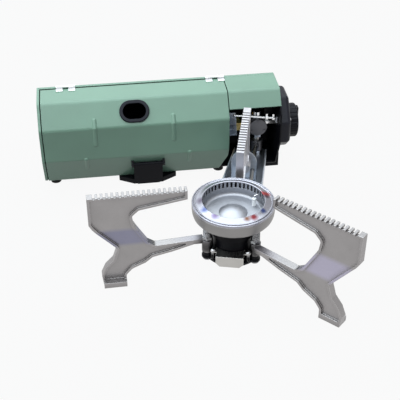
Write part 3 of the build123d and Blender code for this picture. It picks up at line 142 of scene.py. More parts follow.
class Graph:
    """Short ways to build a node tree."""

    def __init__(self, tree: bpy.types.NodeTree) -> None:
        """Keeps the tree that is built."""
        self.tree = tree

    def feed(self, target: Socket, value: object) -> None:
        """Joins an output to an input, or sets the input.

        Args:
            target: The input.
            value: Output to join, or value to set. A colour may leave out its alpha.
        """
        if isinstance(value, Socket):
            self.tree.links.new(value, target)
        elif target.type == "RGBA" and len(value) == 3:
            target.default_value = (*value, 1)
        else:
            target.default_value = value

    def node(self, kind: str, inputs: dict[str | int, object] | None = None,
             **settings: object) -> bpy.types.Node:
        """Adds a node, sets its properties and then its inputs.

        Args:
            kind: Type name of the node.
            inputs: Output or value for each input, by name or number.
            **settings: Properties of the node.

        Returns:
            The new node.
        """
        made = self.tree.nodes.new(kind)
        for key, value in settings.items():
            setattr(made, key, value)
        for key, value in (inputs or {}).items():
            self.feed(made.inputs[key], value)
        return made

    def math(self, operation: str, *values: object) -> Socket:
        """Result of a math operation on outputs or numbers."""
        return self.node("ShaderNodeMath", dict(enumerate(values)), operation=operation).outputs[0]

    def vector_math(self, operation: str, first: object, second: object) -> bpy.types.Node:
        """Vector math node of an operation on two vectors."""
        return self.node("ShaderNodeVectorMath", {0: first, 1: second}, operation=operation)

    def split(self, vector: Socket) -> list[Socket]:
        """X, Y and Z of a vector."""
        return list(self.node("ShaderNodeSeparateXYZ", {0: vector}).outputs)

    def joined(self, *parts: object) -> Socket:
        """Vector of its X, Y and Z."""
        return self.node("ShaderNodeCombineXYZ", dict(enumerate(parts))).outputs[0]

    def ranged(self, value: Socket, source: Point2, target: Point2) -> Socket:
        """Value mapped from one range to another, held at both ends."""
        return self.node("ShaderNodeMapRange", dict(enumerate((value, *source, *target)))).outputs[0]

    def seen(self) -> Socket:
        """Mask of what shows: 1 for rays from the camera, off gloss or through glass, else 0.

        Returns:
            The mask.
        """
        rays = self.node("ShaderNodeLightPath").outputs
        plain = self.math("MAXIMUM", rays["Is Camera Ray"], rays["Is Glossy Ray"])
        return self.math("MAXIMUM", plain, rays["Is Transmission Ray"])


class Recipe(Graph):
    """Builder for the node tree of one material."""

    def __init__(self, name: str) -> None:
        """Starts a material with its shader.

        Args:
            name: Name of the material.
        """
        self.material = bpy.data.materials.new(name)
        self.material.use_nodes = True
        super().__init__(self.material.node_tree)
        self.tree.nodes.clear()
        self.shader = self.node("ShaderNodeBsdfPrincipled")
        self.output = self.node("ShaderNodeOutputMaterial", {"Surface": self.shader.outputs["BSDF"]})
        self.place = self.node("ShaderNodeTexCoord").outputs["Object"]

    def paint(self, **values: object) -> None:
        """Sets or joins inputs of the shader; an underscore in a name stands for a space."""
        for key, value in values.items():
            self.feed(self.shader.inputs[key.replace("_", " ")], value)

    def mapped(self, scale: Point3, shift: Point3 = (0, 0, 0), turn: float = 0) -> Socket:
        """Object coordinates, moved by a shift, turned about Z and scaled.

        Args:
            scale: Pattern repeats per metre on each axis.
            shift: Point of the pattern's own origin.
            turn: Angle of the pattern about Z, in radians.

        Returns:
            The mapped vector.
        """
        centred = self.vector_math("SUBTRACT", self.place, shift).outputs[0]
        spun = self.node("ShaderNodeMapping", {"Vector": centred, "Rotation": (0, 0, turn)},
                         vector_type="TEXTURE")
        return self.vector_math("MULTIPLY", spun.outputs[0], scale).outputs[0]

    def noise(self, vector: Socket, detail: float) -> Socket:
        """Noise between 0 and 1 along a vector."""
        return self.node("ShaderNodeTexNoise", {"Vector": vector, "Scale": 1, "Detail": detail}).outputs[0]

    def even_noise(self, repeats: float, detail: float) -> Socket:
        """Noise with the same repeats per metre on all axes."""
        return self.noise(self.mapped((repeats,) * 3), detail)

    def rough(self, noise: Socket, middle: float, changes: Point2) -> Socket:
        """Roughness that a noise changes about a middle."""
        return self.ranged(noise, NOISE_CORE, (middle + changes[0], middle + changes[1]))

    def mix(self, share: Socket, first: object, second: object) -> Socket:
        """Mix of two colours, by the share of the second."""
        return self.node("ShaderNodeMix", {0: share, 6: first, 7: second}, data_type="RGBA").outputs[2]

    def rounded(self, radius: float) -> Socket:
        """Normal of the surface with its edges rounded to a radius."""
        return self.node("ShaderNodeBevel", {"Radius": radius}, samples=MASK_SAMPLES).outputs[0]

    def relief(self, height: Socket, depth: float, edge: float) -> None:
        """Bumps the surface by a height of 0 to 1 times a depth, over edges rounded to a radius."""
        inputs = {"Strength": 1, "Distance": depth, "Height": height, "Normal": self.rounded(edge)}
        self.paint(Normal=self.node("ShaderNodeBump", inputs).outputs[0])

    def edge_mask(self, radius: float, most: float) -> Socket:
        """Mask of the edges, 0 on flat stretches.

        Args:
            radius: Reach of the mask from an edge, in metres.
            most: Value of the mask at an edge.

        Returns:
            The mask.
        """
        plain = self.node("ShaderNodeNewGeometry").outputs["Normal"]
        likeness = self.vector_math("DOT_PRODUCT", self.rounded(radius), plain).outputs["Value"]
        return self.math("MULTIPLY", self.ranged(likeness, FLAT_TO_EDGE, (0, 1)), most)

    def corner_shade_mask(self, reach: float) -> Socket:
        """Mask of corners and recesses for painted shade, 0 further than its reach from them."""
        made = self.node("ShaderNodeAmbientOcclusion", {"Distance": reach}, samples=MASK_SAMPLES)
        return self.ranged(made.outputs["AO"], OPEN_TO_CORNER, (0, 1))


@dataclass(frozen=True)
class PowderCoat:
    """Satin powder coat with a fine orange peel, paler at the edges, partly from a thinner coat and partly as
    a painted highlight.
    """

    name: str
    colour: Colour
    roughness: float
    rough_changes: Point2 = (-0.03, 0.05)
    clouds: float = 18
    cloud_tones: Point2 = (0.94, 1.05)
    peel_size: float = 0.0011
    peel_depth: float = 0.000018
    # edge fields: paler edges, partly thinner coat and partly painted highlight
    edge: float = 0.0006
    edge_share: float = 0.5
    edge_wear_and_highlight_gain: float = 1.22
    edge_wear_and_highlight_lift: float = 0.01
    black_corner: Point3 | None = None

    def material(self) -> Material:
        """Builds the finish, black where it is right of, in front of and below a black corner.

        Returns:
            The material.
        """
        recipe = Recipe(self.name)
        clouds = recipe.even_noise(self.clouds, detail=2)
        peel = recipe.even_noise(1 / self.peel_size, detail=1)
        low, high = (toned(self.colour, gain) for gain in self.cloud_tones)
        tone = recipe.mix(recipe.ranged(clouds, NOISE_CORE, (0, 1)), low, high)
        # painted highlight, partly thinner coat: paler along the edges
        paler = toned(self.colour, self.edge_wear_and_highlight_gain, self.edge_wear_and_highlight_lift)
        tone = recipe.mix(recipe.edge_mask(self.edge, self.edge_share), tone, paler)
        if self.black_corner is not None:
            corner = recipe.split(recipe.place), self.black_corner
            tests = zip(("GREATER_THAN", "LESS_THAN", "LESS_THAN"), *corner)
            right, before, below = (recipe.math(*test) for test in tests)
            inside = recipe.math("MULTIPLY", recipe.math("MULTIPLY", right, before), below)
            tone = recipe.mix(inside, tone, NEAR_BLACK)
        rough = recipe.rough(clouds, self.roughness, self.rough_changes)
        recipe.paint(Base_Color=tone, Roughness=rough)
        recipe.relief(peel, self.peel_depth, self.edge)
        return recipe.material


@dataclass(frozen=True)
class Tint:
    """Spot of another colour, such as a heat tint or painted shade."""

    place: Point3
    colour: Colour
    reach: float
    core: float = 0.55
    rim: float = 1.25
    wander: float = 0.5
    most: float = 0.95


@dataclass(frozen=True)
class HeightBand:
    """Stretch between two heights in another colour, such as the painted light and shade on a leg's flank."""

    low: float
    high: float
    colour: Colour
    soft_share: float = 0.12


@dataclass(frozen=True)
class WorkedMetal:
    """Bare metal: cast, turned, rolled or brushed, with edges brighter from wear and a painted highlight, and
    painted shade in its corners.
    """

    name: str
    colour: Colour
    grain: Grain
    roughness: float
    rough_change: float = 0.08
    grain_size: float = 0.0006
    grain_depth: float = 0.00003
    grain_share: float = 0.45
    blotch: float = 0.10
    blotch_size: float = 0.018
    # edge fields: brighter edges, partly wear and partly painted highlight
    edge: float = 0.0006
    edge_wear_and_highlight_gain: float = 1.25
    edge_share: float = 0.8
    # corner shade tone and reach: painted shade, a darker colour in corners and recesses
    corner_shade_tone: float = 0.55
    corner_shade_reach: float = 0.006
    centre: Point3 = (0.0, 0.0, 0.0)
    turn: float = 0.0
    round_repeats: float = 3
    tints: tuple[Tint, ...] = ()
    tint_repeats: float = 160
    band: HeightBand | None = None

    def grain_vector(self, recipe: Recipe) -> Socket:
        """Coordinates that stretch the grain the way the metal was worked.

        Args:
            recipe: Material being built.

        Returns:
            Vector for the grain's noise.
        """
        fine = 1 / self.grain_size
        if self.grain is Grain.ROUND:
            x, y, z = recipe.split(recipe.mapped((1, 1, 1), self.centre))
            squares = [recipe.math("MULTIPLY", part, part) for part in (x, y)]
            reach = recipe.math("SQRT", recipe.math("ADD", *squares))
            angle = recipe.math("ARCTAN2", y, x)
            gains = zip((reach, angle, z), (fine, self.round_repeats, fine))
            return recipe.joined(*(recipe.math("MULTIPLY", part, gain) for part, gain in gains))
        return recipe.mapped(tuple(fine / share for share in self.grain.value), self.centre, self.turn)

    def tinted(self, recipe: Recipe, tone: Socket) -> Socket:
        """Lays the tints over the colour, each with a wandering outline.

        Args:
            recipe: Material being built.
            tone: Colour below the tints.

        Returns:
            The tinted colour.
        """
        wander = recipe.even_noise(self.tint_repeats, detail=2) if self.tints else None
        for tint in self.tints:
            distance = recipe.vector_math("DISTANCE", recipe.place, tint.place).outputs["Value"]
            blurred = recipe.math("MULTIPLY_ADD", wander, tint.wander * tint.reach, distance)
            share = recipe.ranged(blurred, (tint.core * tint.reach, tint.rim * tint.reach), (tint.most, 0))
            tone = recipe.mix(share, tone, tint.colour)
        return tone

    def banded(self, recipe: Recipe, tone: Socket) -> Socket:
        """Lays the band over the colour, if there is one.

        Args:
            recipe: Material being built.
            tone: Colour below the band.

        Returns:
            The banded colour.
        """
        if self.band is None:
            return tone
        low, high = self.band.low, self.band.high
        soft = self.band.soft_share * (high - low)
        height = recipe.split(recipe.place)[2]
        rise = recipe.ranged(height, (low - soft, low + soft), (0, 1))
        fall = recipe.ranged(height, (high - soft, high + soft), (1, 0))
        return recipe.mix(recipe.math("MULTIPLY", rise, fall), tone, self.band.colour)

    def material(self) -> Material:
        """Builds the finish.

        Returns:
            The material.
        """
        recipe = Recipe(self.name)
        grain = recipe.noise(self.grain_vector(recipe), detail=4)
        blotches = recipe.even_noise(1 / self.blotch_size, detail=3)
        mixed = recipe.math("ADD", recipe.math("MULTIPLY", grain, self.grain_share),
                            recipe.math("MULTIPLY", blotches, 1 - self.grain_share))
        low, high = toned(self.colour, 1 - self.blotch), toned(self.colour, 1 + self.blotch)
        tone = self.banded(recipe, recipe.mix(recipe.ranged(mixed, MIXED_CORE, (0, 1)), low, high))
        # painted shade in corners and recesses
        tone = recipe.mix(recipe.corner_shade_mask(self.corner_shade_reach), tone, toned(self.colour, self.corner_shade_tone))
        # brighter edges, partly wear and partly painted highlight
        bright = toned(self.colour, self.edge_wear_and_highlight_gain, most=0.97)
        tone = recipe.mix(recipe.edge_mask(self.edge, self.edge_share), tone, bright)
        rough = recipe.rough(mixed, self.roughness, (-self.rough_change, self.rough_change))
        recipe.paint(Base_Color=self.tinted(recipe, tone), Roughness=rough, Metallic=1.0)
        recipe.relief(grain, self.grain_depth, self.edge)
        return recipe.material


@dataclass(frozen=True)
class Moulding:
    """Moulded plastic, rubber, glaze or black coat with a fine grain and a little dust."""

    name: str
    colour: Colour
    roughness: float
    rough_changes: Point2 = (-0.05, 0.08)
    grain_size: float = 0.0005
    grain_depth: float = 0.00003
    coat: float = 0.0
    coat_roughness: float = 0.08
    edge: float = 0.0005
    edge_share: float = 0.5
    dust: float = 0.0
    dust_tone: float = 0.25
    clouds: float = 40
    cloud_core: Point2 = (0.4, 0.75)
    cloud_share: float = 0.6
    specular: float = 0.5

    def material(self) -> Material:
        """Builds the finish.

        Returns:
            The material.
        """
        recipe = Recipe(self.name)
        grain = recipe.even_noise(1 / self.grain_size, detail=2)
        clouds = recipe.even_noise(self.clouds, detail=3)
        pale = tuple(part + self.dust * max(0.0, self.dust_tone - part) for part in self.colour)
        tone = recipe.mix(recipe.ranged(clouds, self.cloud_core, (0, self.cloud_share)), self.colour, pale)
        tone = recipe.mix(recipe.edge_mask(self.edge, self.edge_share), tone, pale)
        rough = recipe.rough(clouds, self.roughness, self.rough_changes)
        recipe.paint(Base_Color=tone, Roughness=rough, Coat_Weight=self.coat,
                     Coat_Roughness=self.coat_roughness, Specular_IOR_Level=self.specular)
        recipe.relief(grain, self.grain_depth, self.edge)
        return recipe.material


@dataclass(frozen=True)
class StudioFloor:
    """Pale floor that shows as white but keeps the shadow of the stove."""

    name: str = "studio_floor"
    shade: float = 0.22
    roughness: float = 0.9
    specular: float = 0.1
    glow_share: float = 0.93

    def material(self) -> Material:
        """Builds the finish.

        Returns:
            The material.
        """
        recipe = Recipe(self.name)
        recipe.paint(Base_Color=(self.shade,) * 3, Roughness=self.roughness,
                     Specular_IOR_Level=self.specular)
        glow = recipe.node("ShaderNodeEmission", {"Color": (1, 1, 1)})
        share = recipe.math("MULTIPLY", recipe.seen(), self.glow_share)
        both = recipe.node("ShaderNodeMixShader", {0: share, 1: recipe.shader.outputs[0], 2: glow.outputs[0]})
        recipe.feed(recipe.output.inputs["Surface"], both.outputs[0])
        return recipe.material


Finish = PowderCoat | WorkedMetal | Moulding


@dataclass(frozen=True)
class Rounding:
    """Width of rounded edges in metres, and the least angle of an edge that is rounded, in degrees."""

    width: float
    angle: float = 40


class Stock:
    """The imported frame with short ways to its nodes, bodies and finishes."""

    def __init__(self) -> None:
        """Loads the frame and keeps its box."""
        self.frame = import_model()
        self.cad_bounds = [list(corner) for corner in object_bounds()]
        record = self.frame["record"]
        bodies = record["behaviour"]["bodies"]
        self.body_of = {node: body for body, nodes in bodies.items() for node in nodes}
        self.slot_of = {entry["node"]: entry["material_slot"] for entry in record["subparts"]}
        self.made: dict[str, Material] = {}

    def low(self, node: str) -> Vector:
        """Lowest corner of a node."""
        return Vector(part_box(node)[0])

    def high(self, node: str) -> Vector:
        """Highest corner of a node."""
        return Vector(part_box(node)[1])

    def middle(self, node: str) -> Vector:
        """Middle of a node's box."""
        return (self.low(node) + self.high(node)) / 2

    def reach(self, node: str) -> float:
        """Outer radius of a round node."""
        return (self.high(node).x - self.low(node).x) / 2

    def axis(self, height: float) -> Vector:
        """Point on the burner axis at a height."""
        middle = self.middle("burner_ring")
        return Vector((middle.x, middle.y, height))

    def finish(self, finish: Finish) -> Material:
        """Material of a finish, built once.

        Args:
            finish: The finish.

        Returns:
            Its material.
        """
        if finish.name not in self.made:
            self.made[finish.name] = finish.material()
        return self.made[finish.name]

    def dress(self, finish: Finish, *nodes: str) -> None:
        """Gives carried-over nodes a finish.

        Args:
            finish: The finish.
            *nodes: Names of the nodes.
        """
        for node in nodes:
            mesh = self.frame["nodes"][node].data
            mesh.materials.clear()
            mesh.materials.append(self.finish(finish))
            LOG.info("dressed %s in %s", node, finish.name)

    def seat(self, piece: Piece, node: str, finish: Finish, replaces: bool = True) -> None:
        """Gives a new piece its finish and its place among the bodies.

        Args:
            piece: The new piece, in place.
            node: The node that it stands for or belongs to.
            finish: Its finish.
            replaces: Whether it stands for the node.
        """
        piece.data.materials.clear()
        piece.data.materials.append(self.finish(finish))
        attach(piece, self.body_of[node])
        if replaces:
            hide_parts(node)
        LOG.info("seated %s on %s in %s", piece.name, self.body_of[node], finish.name)

    def soften(self, finish: Finish, edges: Rounding, *nodes: str) -> None:
        """Stands copies with rounded edges in for nodes.

        Args:
            finish: Their finish.
            edges: Rounding of their edges.
            *nodes: Names of the nodes.
        """
        for node in nodes:
            mesh = bpy.data.meshes.new(node + "_soft")
            shape = bmesh.new()
            shape.from_mesh(self.frame["nodes"][node].data)
            bmesh.ops.remove_doubles(shape, verts=shape.verts, dist=MERGED)
            bmesh.ops.dissolve_limit(shape, angle_limit=math.radians(LEVEL), verts=shape.verts,
                                     edges=shape.edges, delimit={"NORMAL"})
            shape.to_mesh(mesh)
            shape.free()
            piece = linked(node + "_soft", mesh)
            modify(piece, "BEVEL", width=edges.width, segments=2, limit_method="ANGLE",
                   angle_limit=math.radians(edges.angle), use_clamp_overlap=True)
            smooth(piece, edges.angle + BEVEL_BEND)
            crease(piece)
            modify(piece, "WEIGHTED_NORMAL", keep_sharp=True)
            self.seat(piece, node, finish)


def linked(name: str, mesh: bpy.types.Mesh) -> Piece:
    """Puts a mesh in the scene.

    Args:
        name: Name of the object.
        mesh: Its mesh.

    Returns:
        The object.
    """
    piece = bpy.data.objects.new(name, mesh)
    bpy.context.scene.collection.objects.link(piece)
    return piece


def modify(piece: Piece, kind: str, sockets: dict[str, object] | None = None,
           **settings: object) -> None:
    """Changes a piece by a modifier and keeps the result as its plain mesh.

    Args:
        piece: The piece.
        kind: Type name of the modifier.
        sockets: Value for each input of a node tree, by identifier.
        **settings: Properties of the modifier.
    """
    modifier = piece.modifiers.new(kind.lower(), kind)
    for key, value in settings.items():
        setattr(modifier, key, value)
    for identifier, value in (sockets or {}).items():
        modifier[identifier] = value
    graph = bpy.context.evaluated_depsgraph_get()
    mesh = bpy.data.meshes.new_from_object(piece.evaluated_get(graph))
    piece.modifiers.clear()
    piece.data = mesh


def smooth(piece: Piece, angle: float = 32) -> None:
    """Gives a piece smooth shading up to its sharp edges, those of at least an angle in degrees."""
    piece.data.shade_smooth()
    piece.data.set_sharp_from_angle(angle=math.radians(angle))


def crease(piece: Piece) -> None:
    """Marks the bends between large faces as sharp; the finish rounds them again.

    Args:
        piece: Piece to mark.
    """
    shape = bmesh.new()
    shape.from_mesh(piece.data)
    for edge in shape.edges:
        if edge.is_manifold and min(face.calc_area() for face in edge.link_faces) > LARGE_FACE:
            if edge.calc_face_angle() > math.radians(CREASE):
                edge.smooth = False
    shape.to_mesh(piece.data)
    shape.free()


def around(radius: float, angle: float) -> Point2:
    """Point on a circle about the origin, at an angle in radians."""
    return radius * math.cos(angle), radius * math.sin(angle)


def arc(centre: Point2, radius: float, start: float, end: float, steps: int = 6) -> list[Point2]:
    """Points along an arc, between a start and an end angle in degrees, in a number of steps."""
    angles = [math.radians(start + (end - start) * step / steps) for step in range(steps + 1)]
    return [(centre[0] + across, centre[1] + up) for across, up in (around(radius, turn) for turn in angles)]


def turned(name: str, profile: list[Point2], centre: Vector, segments: int = 180) -> Piece:
    """Piece turned about a vertical axis.

    Args:
        name: Name of the piece.
        profile: Closed outline of radius and height; a radius of zero is a pole.
        centre: Point on the axis that the heights count from.
        segments: Steps round the axis.

    Returns:
        The new piece.
    """
    mesh = bpy.data.meshes.new(name)
    shape = bmesh.new()
    rings = []
    for radius, height in profile:
        steps = 1 if radius < POLE else segments
        rings.append([shape.verts.new(centre + Vector((*around(radius, math.tau * step / segments), height)))
                      for step in range(steps)])
    for first, second in zip(rings, rings[1:] + rings[:1]):
        for step in range(segments if len(first) + len(second) > 2 else 0):
            after = (step + 1) % segments
            corners = (first[step % len(first)], first[after % len(first)],
                       second[after % len(second)], second[step % len(second)])
            shape.faces.new(list(dict.fromkeys(corners)))
    bmesh.ops.recalc_face_normals(shape, faces=shape.faces)
    shape.to_mesh(mesh)
    shape.free()
    piece = linked(name, mesh)
    smooth(piece)
    return piece


class GeometryTree(Graph):
    """Builder for one Geometry Nodes tree with named inputs."""

    def __init__(self, name: str) -> None:
        """Starts a tree with a geometry input and output.

        Args:
            name: Name of the piece that it makes.
        """
        super().__init__(bpy.data.node_groups.new(name + "_tree", "GeometryNodeTree"))
        self.name = name
        for way in ("INPUT", "OUTPUT"):
            self.tree.interface.new_socket("Geometry", in_out=way, socket_type="NodeSocketGeometry")
        self.source = self.node("NodeGroupInput")
        self.result = self.node("NodeGroupOutput")
        self.values: dict[str, object] = {}

    def inputs(self, **values: int | float | Vector) -> list[Socket]:
        """Adds named inputs; an underscore in a name stands for a space.

        Args:
            **values: Value that the modifier sets, for each name.

        Returns:
            The sockets inside the tree, in order.
        """
        kinds = {int: "NodeSocketInt", float: "NodeSocketFloat", Vector: "NodeSocketVector"}
        names = [key.replace("_", " ") for key in values]
        for name, value in zip(names, values.values()):
            item = self.tree.interface.new_socket(name, in_out="INPUT", socket_type=kinds[type(value)])
            self.values[item.identifier] = value
        return [self.source.outputs[name] for name in names]

    def spread(self, shape: Socket, points: Socket | None = None, **inputs: Socket) -> Socket:
        """Puts a shape on points.

        Args:
            shape: The shape.
            points: The points, or None for those that come into the tree.
            **inputs: Rotation and Scale, where they aren't plain.

        Returns:
            The instances.
        """
        inputs |= {"Points": points or self.source.outputs["Geometry"], "Instance": shape}
        return self.node("GeometryNodeInstanceOnPoints", inputs).outputs[0]

    def grow(self, instances: Socket, points: list[Vector], material: Material) -> Piece:
        """Ends the tree, runs it on loose points and keeps the result as a plain piece.

        Args:
            instances: What the tree makes.
            points: Points that come into the tree.
            material: Material of the piece.

        Returns:
            The new piece.
        """
        real = self.node("GeometryNodeRealizeInstances", {0: instances}).outputs[0]
        dressed = self.node("GeometryNodeSetMaterial", {"Geometry": real, "Material": material})
        self.feed(self.result.inputs["Geometry"], dressed.outputs[0])
        mesh = bpy.data.meshes.new(self.name)
        mesh.from_pydata([tuple(point) for point in points], [], [])
        piece = linked(self.name, mesh)
        modify(piece, "NODES", self.values, node_group=self.tree)
        smooth(piece)
        return piece


@dataclass(frozen=True)
class RivetRow:
    """Domed rivets on level sheet, grown by a Geometry Nodes tree."""

    name: str
    radius: float
    rise: float
    segments: int = 24
    rings: int = 10

    def grow(self, points: list[Vector], material: Material) -> Piece:
        """Grows the heads.

        Args:
            points: Foot of each head.
            material: Material of the heads.

        Returns:
            The new piece.
        """
        tree = GeometryTree(self.name)
        radius, rise, steps, rings = tree.inputs(Radius=self.radius, Rise=self.rise,
                                                 Segments=self.segments, Rings=self.rings)
        ball = tree.node("GeometryNodeMeshUVSphere", {"Segments": steps, "Rings": rings, "Radius": 1})
        heads = tree.spread(ball.outputs["Mesh"], Scale=tree.joined(radius, radius, rise))
        return tree.grow(heads, points, material)


@dataclass(frozen=True)
class SlottedWall:
    """Ring of upright bars between the flame slots, grown by a Geometry Nodes tree."""

    name: str
    radius: float
    wall: float
    height: float
    slot: float
    count: int

    def grow(self, centre: Vector, material: Material) -> Piece:
        """Grows the bars.

        Args:
            centre: Middle of the ring of bars.
            material: Material of the bars.

        Returns:
            The new piece.
        """
        tree = GeometryTree(self.name)
        bar = Vector((self.wall, math.tau * self.radius / self.count - self.slot, self.height))
        count, radius, size, middle = tree.inputs(Count=self.count, Radius=self.radius, Bar_Size=bar,
                                                  Centre=centre)
        circle = tree.node("GeometryNodeMeshCircle", {"Vertices": count, "Radius": radius}).outputs[0]
        cube = tree.node("GeometryNodeMeshCube", {"Size": size})
        share = tree.math("DIVIDE", tree.node("GeometryNodeInputIndex").outputs[0], count)
        angles = tree.joined(0, 0, tree.math("MULTIPLY", share, math.tau))
        turn = tree.node("FunctionNodeEulerToRotation", {0: angles}).outputs[0]
        bars = tree.spread(cube.outputs["Mesh"], circle, Rotation=turn)
        moved = tree.node("GeometryNodeTransform", {"Geometry": bars, "Translation": middle})
        return tree.grow(moved.outputs[0], [Vector()], material)


@dataclass(frozen=True)
class ThreadStack:
    """Thread turns along upright studs, grown by a Geometry Nodes tree."""

    name: str
    radius: float
    pitch: float
    crest: float
    round_steps: int = 28
    crest_steps: int = 6

    def grow(self, feet: list[Vector], height: float, material: Material) -> Piece:
        """Grows the threads.

        Args:
            feet: Lowest point of each thread.
            height: Height of the threads.
            material: Material of the threads.

        Returns:
            The new piece.
        """
        tree = GeometryTree(self.name)
        count, pitch, radius, crest = tree.inputs(Turns=int(height / self.pitch), Pitch=self.pitch,
                                                  Radius=self.radius, Crest=self.crest)
        column = tree.node("GeometryNodeMeshLine", {"Count": count, "Offset": tree.joined(0, 0, pitch)})
        circles = [tree.node("GeometryNodeCurvePrimitiveCircle", {"Radius": reach, "Resolution": steps})
                   for reach, steps in ((radius, self.round_steps), (crest, self.crest_steps))]
        turn = tree.node("GeometryNodeCurveToMesh", {"Curve": circles[0].outputs[0],
                                                     "Profile Curve": circles[1].outputs[0]})
        stack = tree.spread(turn.outputs[0], column.outputs[0])
        return tree.grow(tree.spread(stack), feet, material)


@dataclass(frozen=True)
class PostCircle:
    """Upright posts round the burner axis: the rear one, then those of the left and the right leg."""

    radius: float = 0.0275
    first: float = 75
    step: float = 120
    count: int = 3

    def post(self, number: int, centre: Vector) -> Vector:
        """Point on a post, level with a point on the burner axis."""
        return centre + Vector((*around(self.radius, math.radians(self.first + self.step * number)), 0))


GREEN = PowderCoat("green_powder_coat", (0.180, 0.303, 0.224), 0.36)
BLACK_SHEET = Moulding("black_coated_sheet", (0.004, 0.004, 0.006), 0.42, dust=0.01, specular=0.10)
BLACK_PLASTIC = Moulding("black_grained_plastic", (0.004, 0.004, 0.007), 0.30, dust=0.01, specular=0.13)
GREY_PLASTIC = Moulding("dark_grey_panel", (0.013, 0.013, 0.020), 0.30, dust=0.02, specular=0.19)
GLOSS_BLACK = Moulding("gloss_black_bezel", (0.007, 0.008, 0.014), 0.34, coat=0.04, dust=0.01, specular=0.16)
RUBBER = Moulding("rubber", (0.012, 0.012, 0.012), 0.7, dust=0.05, specular=0.2)
CERAMIC = Moulding("white_ceramic", (0.90, 0.90, 0.90), 0.22, coat=0.6, grain_depth=0.00001)
BRASS = WorkedMetal("turned_brass", (0.80, 0.58, 0.22), Grain.CAST, 0.25, grain_depth=0.00001)
ZINC = WorkedMetal("zinc_plate", (0.50, 0.53, 0.58), Grain.ROLLED, 0.26, rough_change=0.07,
                   grain_size=0.0012, grain_depth=0.000008, blotch=0.09, blotch_size=0.012)
ARM_ZINC = replace(ZINC, name="blue_zinc_plate", colour=(0.50, 0.54, 0.60), roughness=0.34,
                   rough_change=0.05, blotch=0.12, blotch_size=0.020, edge_wear_and_highlight_gain=1.7)
BRIGHT = WorkedMetal("bright_nickel", (0.80, 0.80, 0.81), Grain.CAST, 0.14, rough_change=0.05,
                     grain_depth=0.000004, blotch=0.04)
# painted shade: bright nickel darkened for the posts, nuts, sleeves and threads, which sit in shade under the
# burner
SHADED_STUD = replace(BRIGHT, name="nickel_in_painted_shade", colour=(0.30, 0.30, 0.31), roughness=0.22, blotch=0.06,
               edge_wear_and_highlight_gain=1.7)
STAINLESS = WorkedMetal("brushed_stainless", (0.46, 0.45, 0.43), Grain.ALONG_X, 0.30, grain_size=0.0003,
                        grain_depth=0.000008, turn=math.radians(75), edge_wear_and_highlight_gain=1.8)
DIE_CAST = WorkedMetal("grey_die_cast", (0.12, 0.12, 0.13), Grain.CAST, 0.45)
# castings: painted shade in corners and recesses, and edges brighter from wear and a painted highlight
CASTING = WorkedMetal("satin_aluminium_casting", (0.335, 0.322, 0.322), Grain.CAST, 0.38, edge=0.0008,
                      grain_size=0.0007, grain_depth=0.00002, blotch=0.08, edge_wear_and_highlight_gain=1.6, corner_shade_tone=0.72)
SUPPORT_CASTING = replace(CASTING, name="pale_support_casting", colour=(0.52, 0.51, 0.53), roughness=0.36,
                          blotch=0.10, edge=0.0009, edge_wear_and_highlight_gain=1.4, corner_shade_tone=0.90)


@dataclass
class Housing:
    """Green sheet housing with its lid, hinges, window and feet."""

    stock: Stock
    edges: Rounding = Rounding(0.00035)
    rivet: RivetRow = RivetRow("hinge_rivets", 0.0013, 0.0006)
    rivet_steps: tuple[float, ...] = (0.0035, 0.0175)
    leaf_depth_share: float = 0.25
    black_height: float = 0.042

    def sheets(self) -> None:
        """Sheets with rounded edges; the shell is black below the control box's opening."""
        stock = self.stock
        stock.soften(GREEN, self.edges, "lid", "left_end_plate", "control_box_roof")
        corner = (stock.low("partition_wall").x, stock.middle("base_shell").y, self.black_height)
        shell = replace(GREEN, name="green_and_black_coat", black_corner=corner)
        stock.soften(shell, self.edges, "base_shell")

    def hinge_rivets(self) -> None:
        """Two rivets on each lid leaf of the hinges, at steps from its outer end."""
        low, high = self.stock.low("lid_hinge_leaves"), self.stock.high("lid_hinge_leaves")
        y = low.y + self.leaf_depth_share * (high.y - low.y)
        z = self.stock.high("lid").z + self.rivet.rise / 3
        points = [Vector((edge + way * step, y, z))
                  for edge, way in ((low.x, 1), (high.x, -1)) for step in self.rivet_steps]
        piece = self.rivet.grow(points, self.stock.finish(BRIGHT))
        self.stock.seat(piece, "lid_hinge_leaves", BRIGHT, replaces=False)

    def build(self) -> None:
        """Builds and dresses the housing."""
        self.sheets()
        self.hinge_rivets()
        stock = self.stock
        stock.dress(BRIGHT, "lid_hinge_leaves", "body_hinges", "housing_screws")
        stock.dress(GLOSS_BLACK, "window_bezel")
        stock.dress(BLACK_SHEET, "latch", "catch_foot", "cartridge_liner", "control_box_liner",
                    "partition_wall", "right_bulkhead", "can_cradle", "latch_mount")
        stock.dress(ZINC, "can_magnets")
        stock.dress(RUBBER, "rubber_feet")
        stock.dress(BLACK_PLASTIC, "right_foot")


@dataclass
class ControlBox:
    """Regulator, connector, igniter and knob at the right end."""

    stock: Stock

    def build(self) -> None:
        """Dresses the control box."""
        stock = self.stock
        stock.dress(GREY_PLASTIC, "side_panel")
        stock.dress(BLACK_PLASTIC, "piezo_igniter", "control_knob", "igniter_cam")
        stock.dress(BRASS, "can_connector")
        stock.dress(RUBBER, "connector_seal")
        stock.dress(ZINC, "connector_bracket", "clip_post", "union_nut", "arm_pivot_bush")
        stock.dress(DIE_CAST, "regulator_body")
        stock.dress(STAINLESS, "gas_downpipe")
        stock.dress(BRIGHT, "regulator_cap", "link_rod", "rod_clips", "valve_spindle", "igniter_plunger",
                    "arm_pivot_pin")


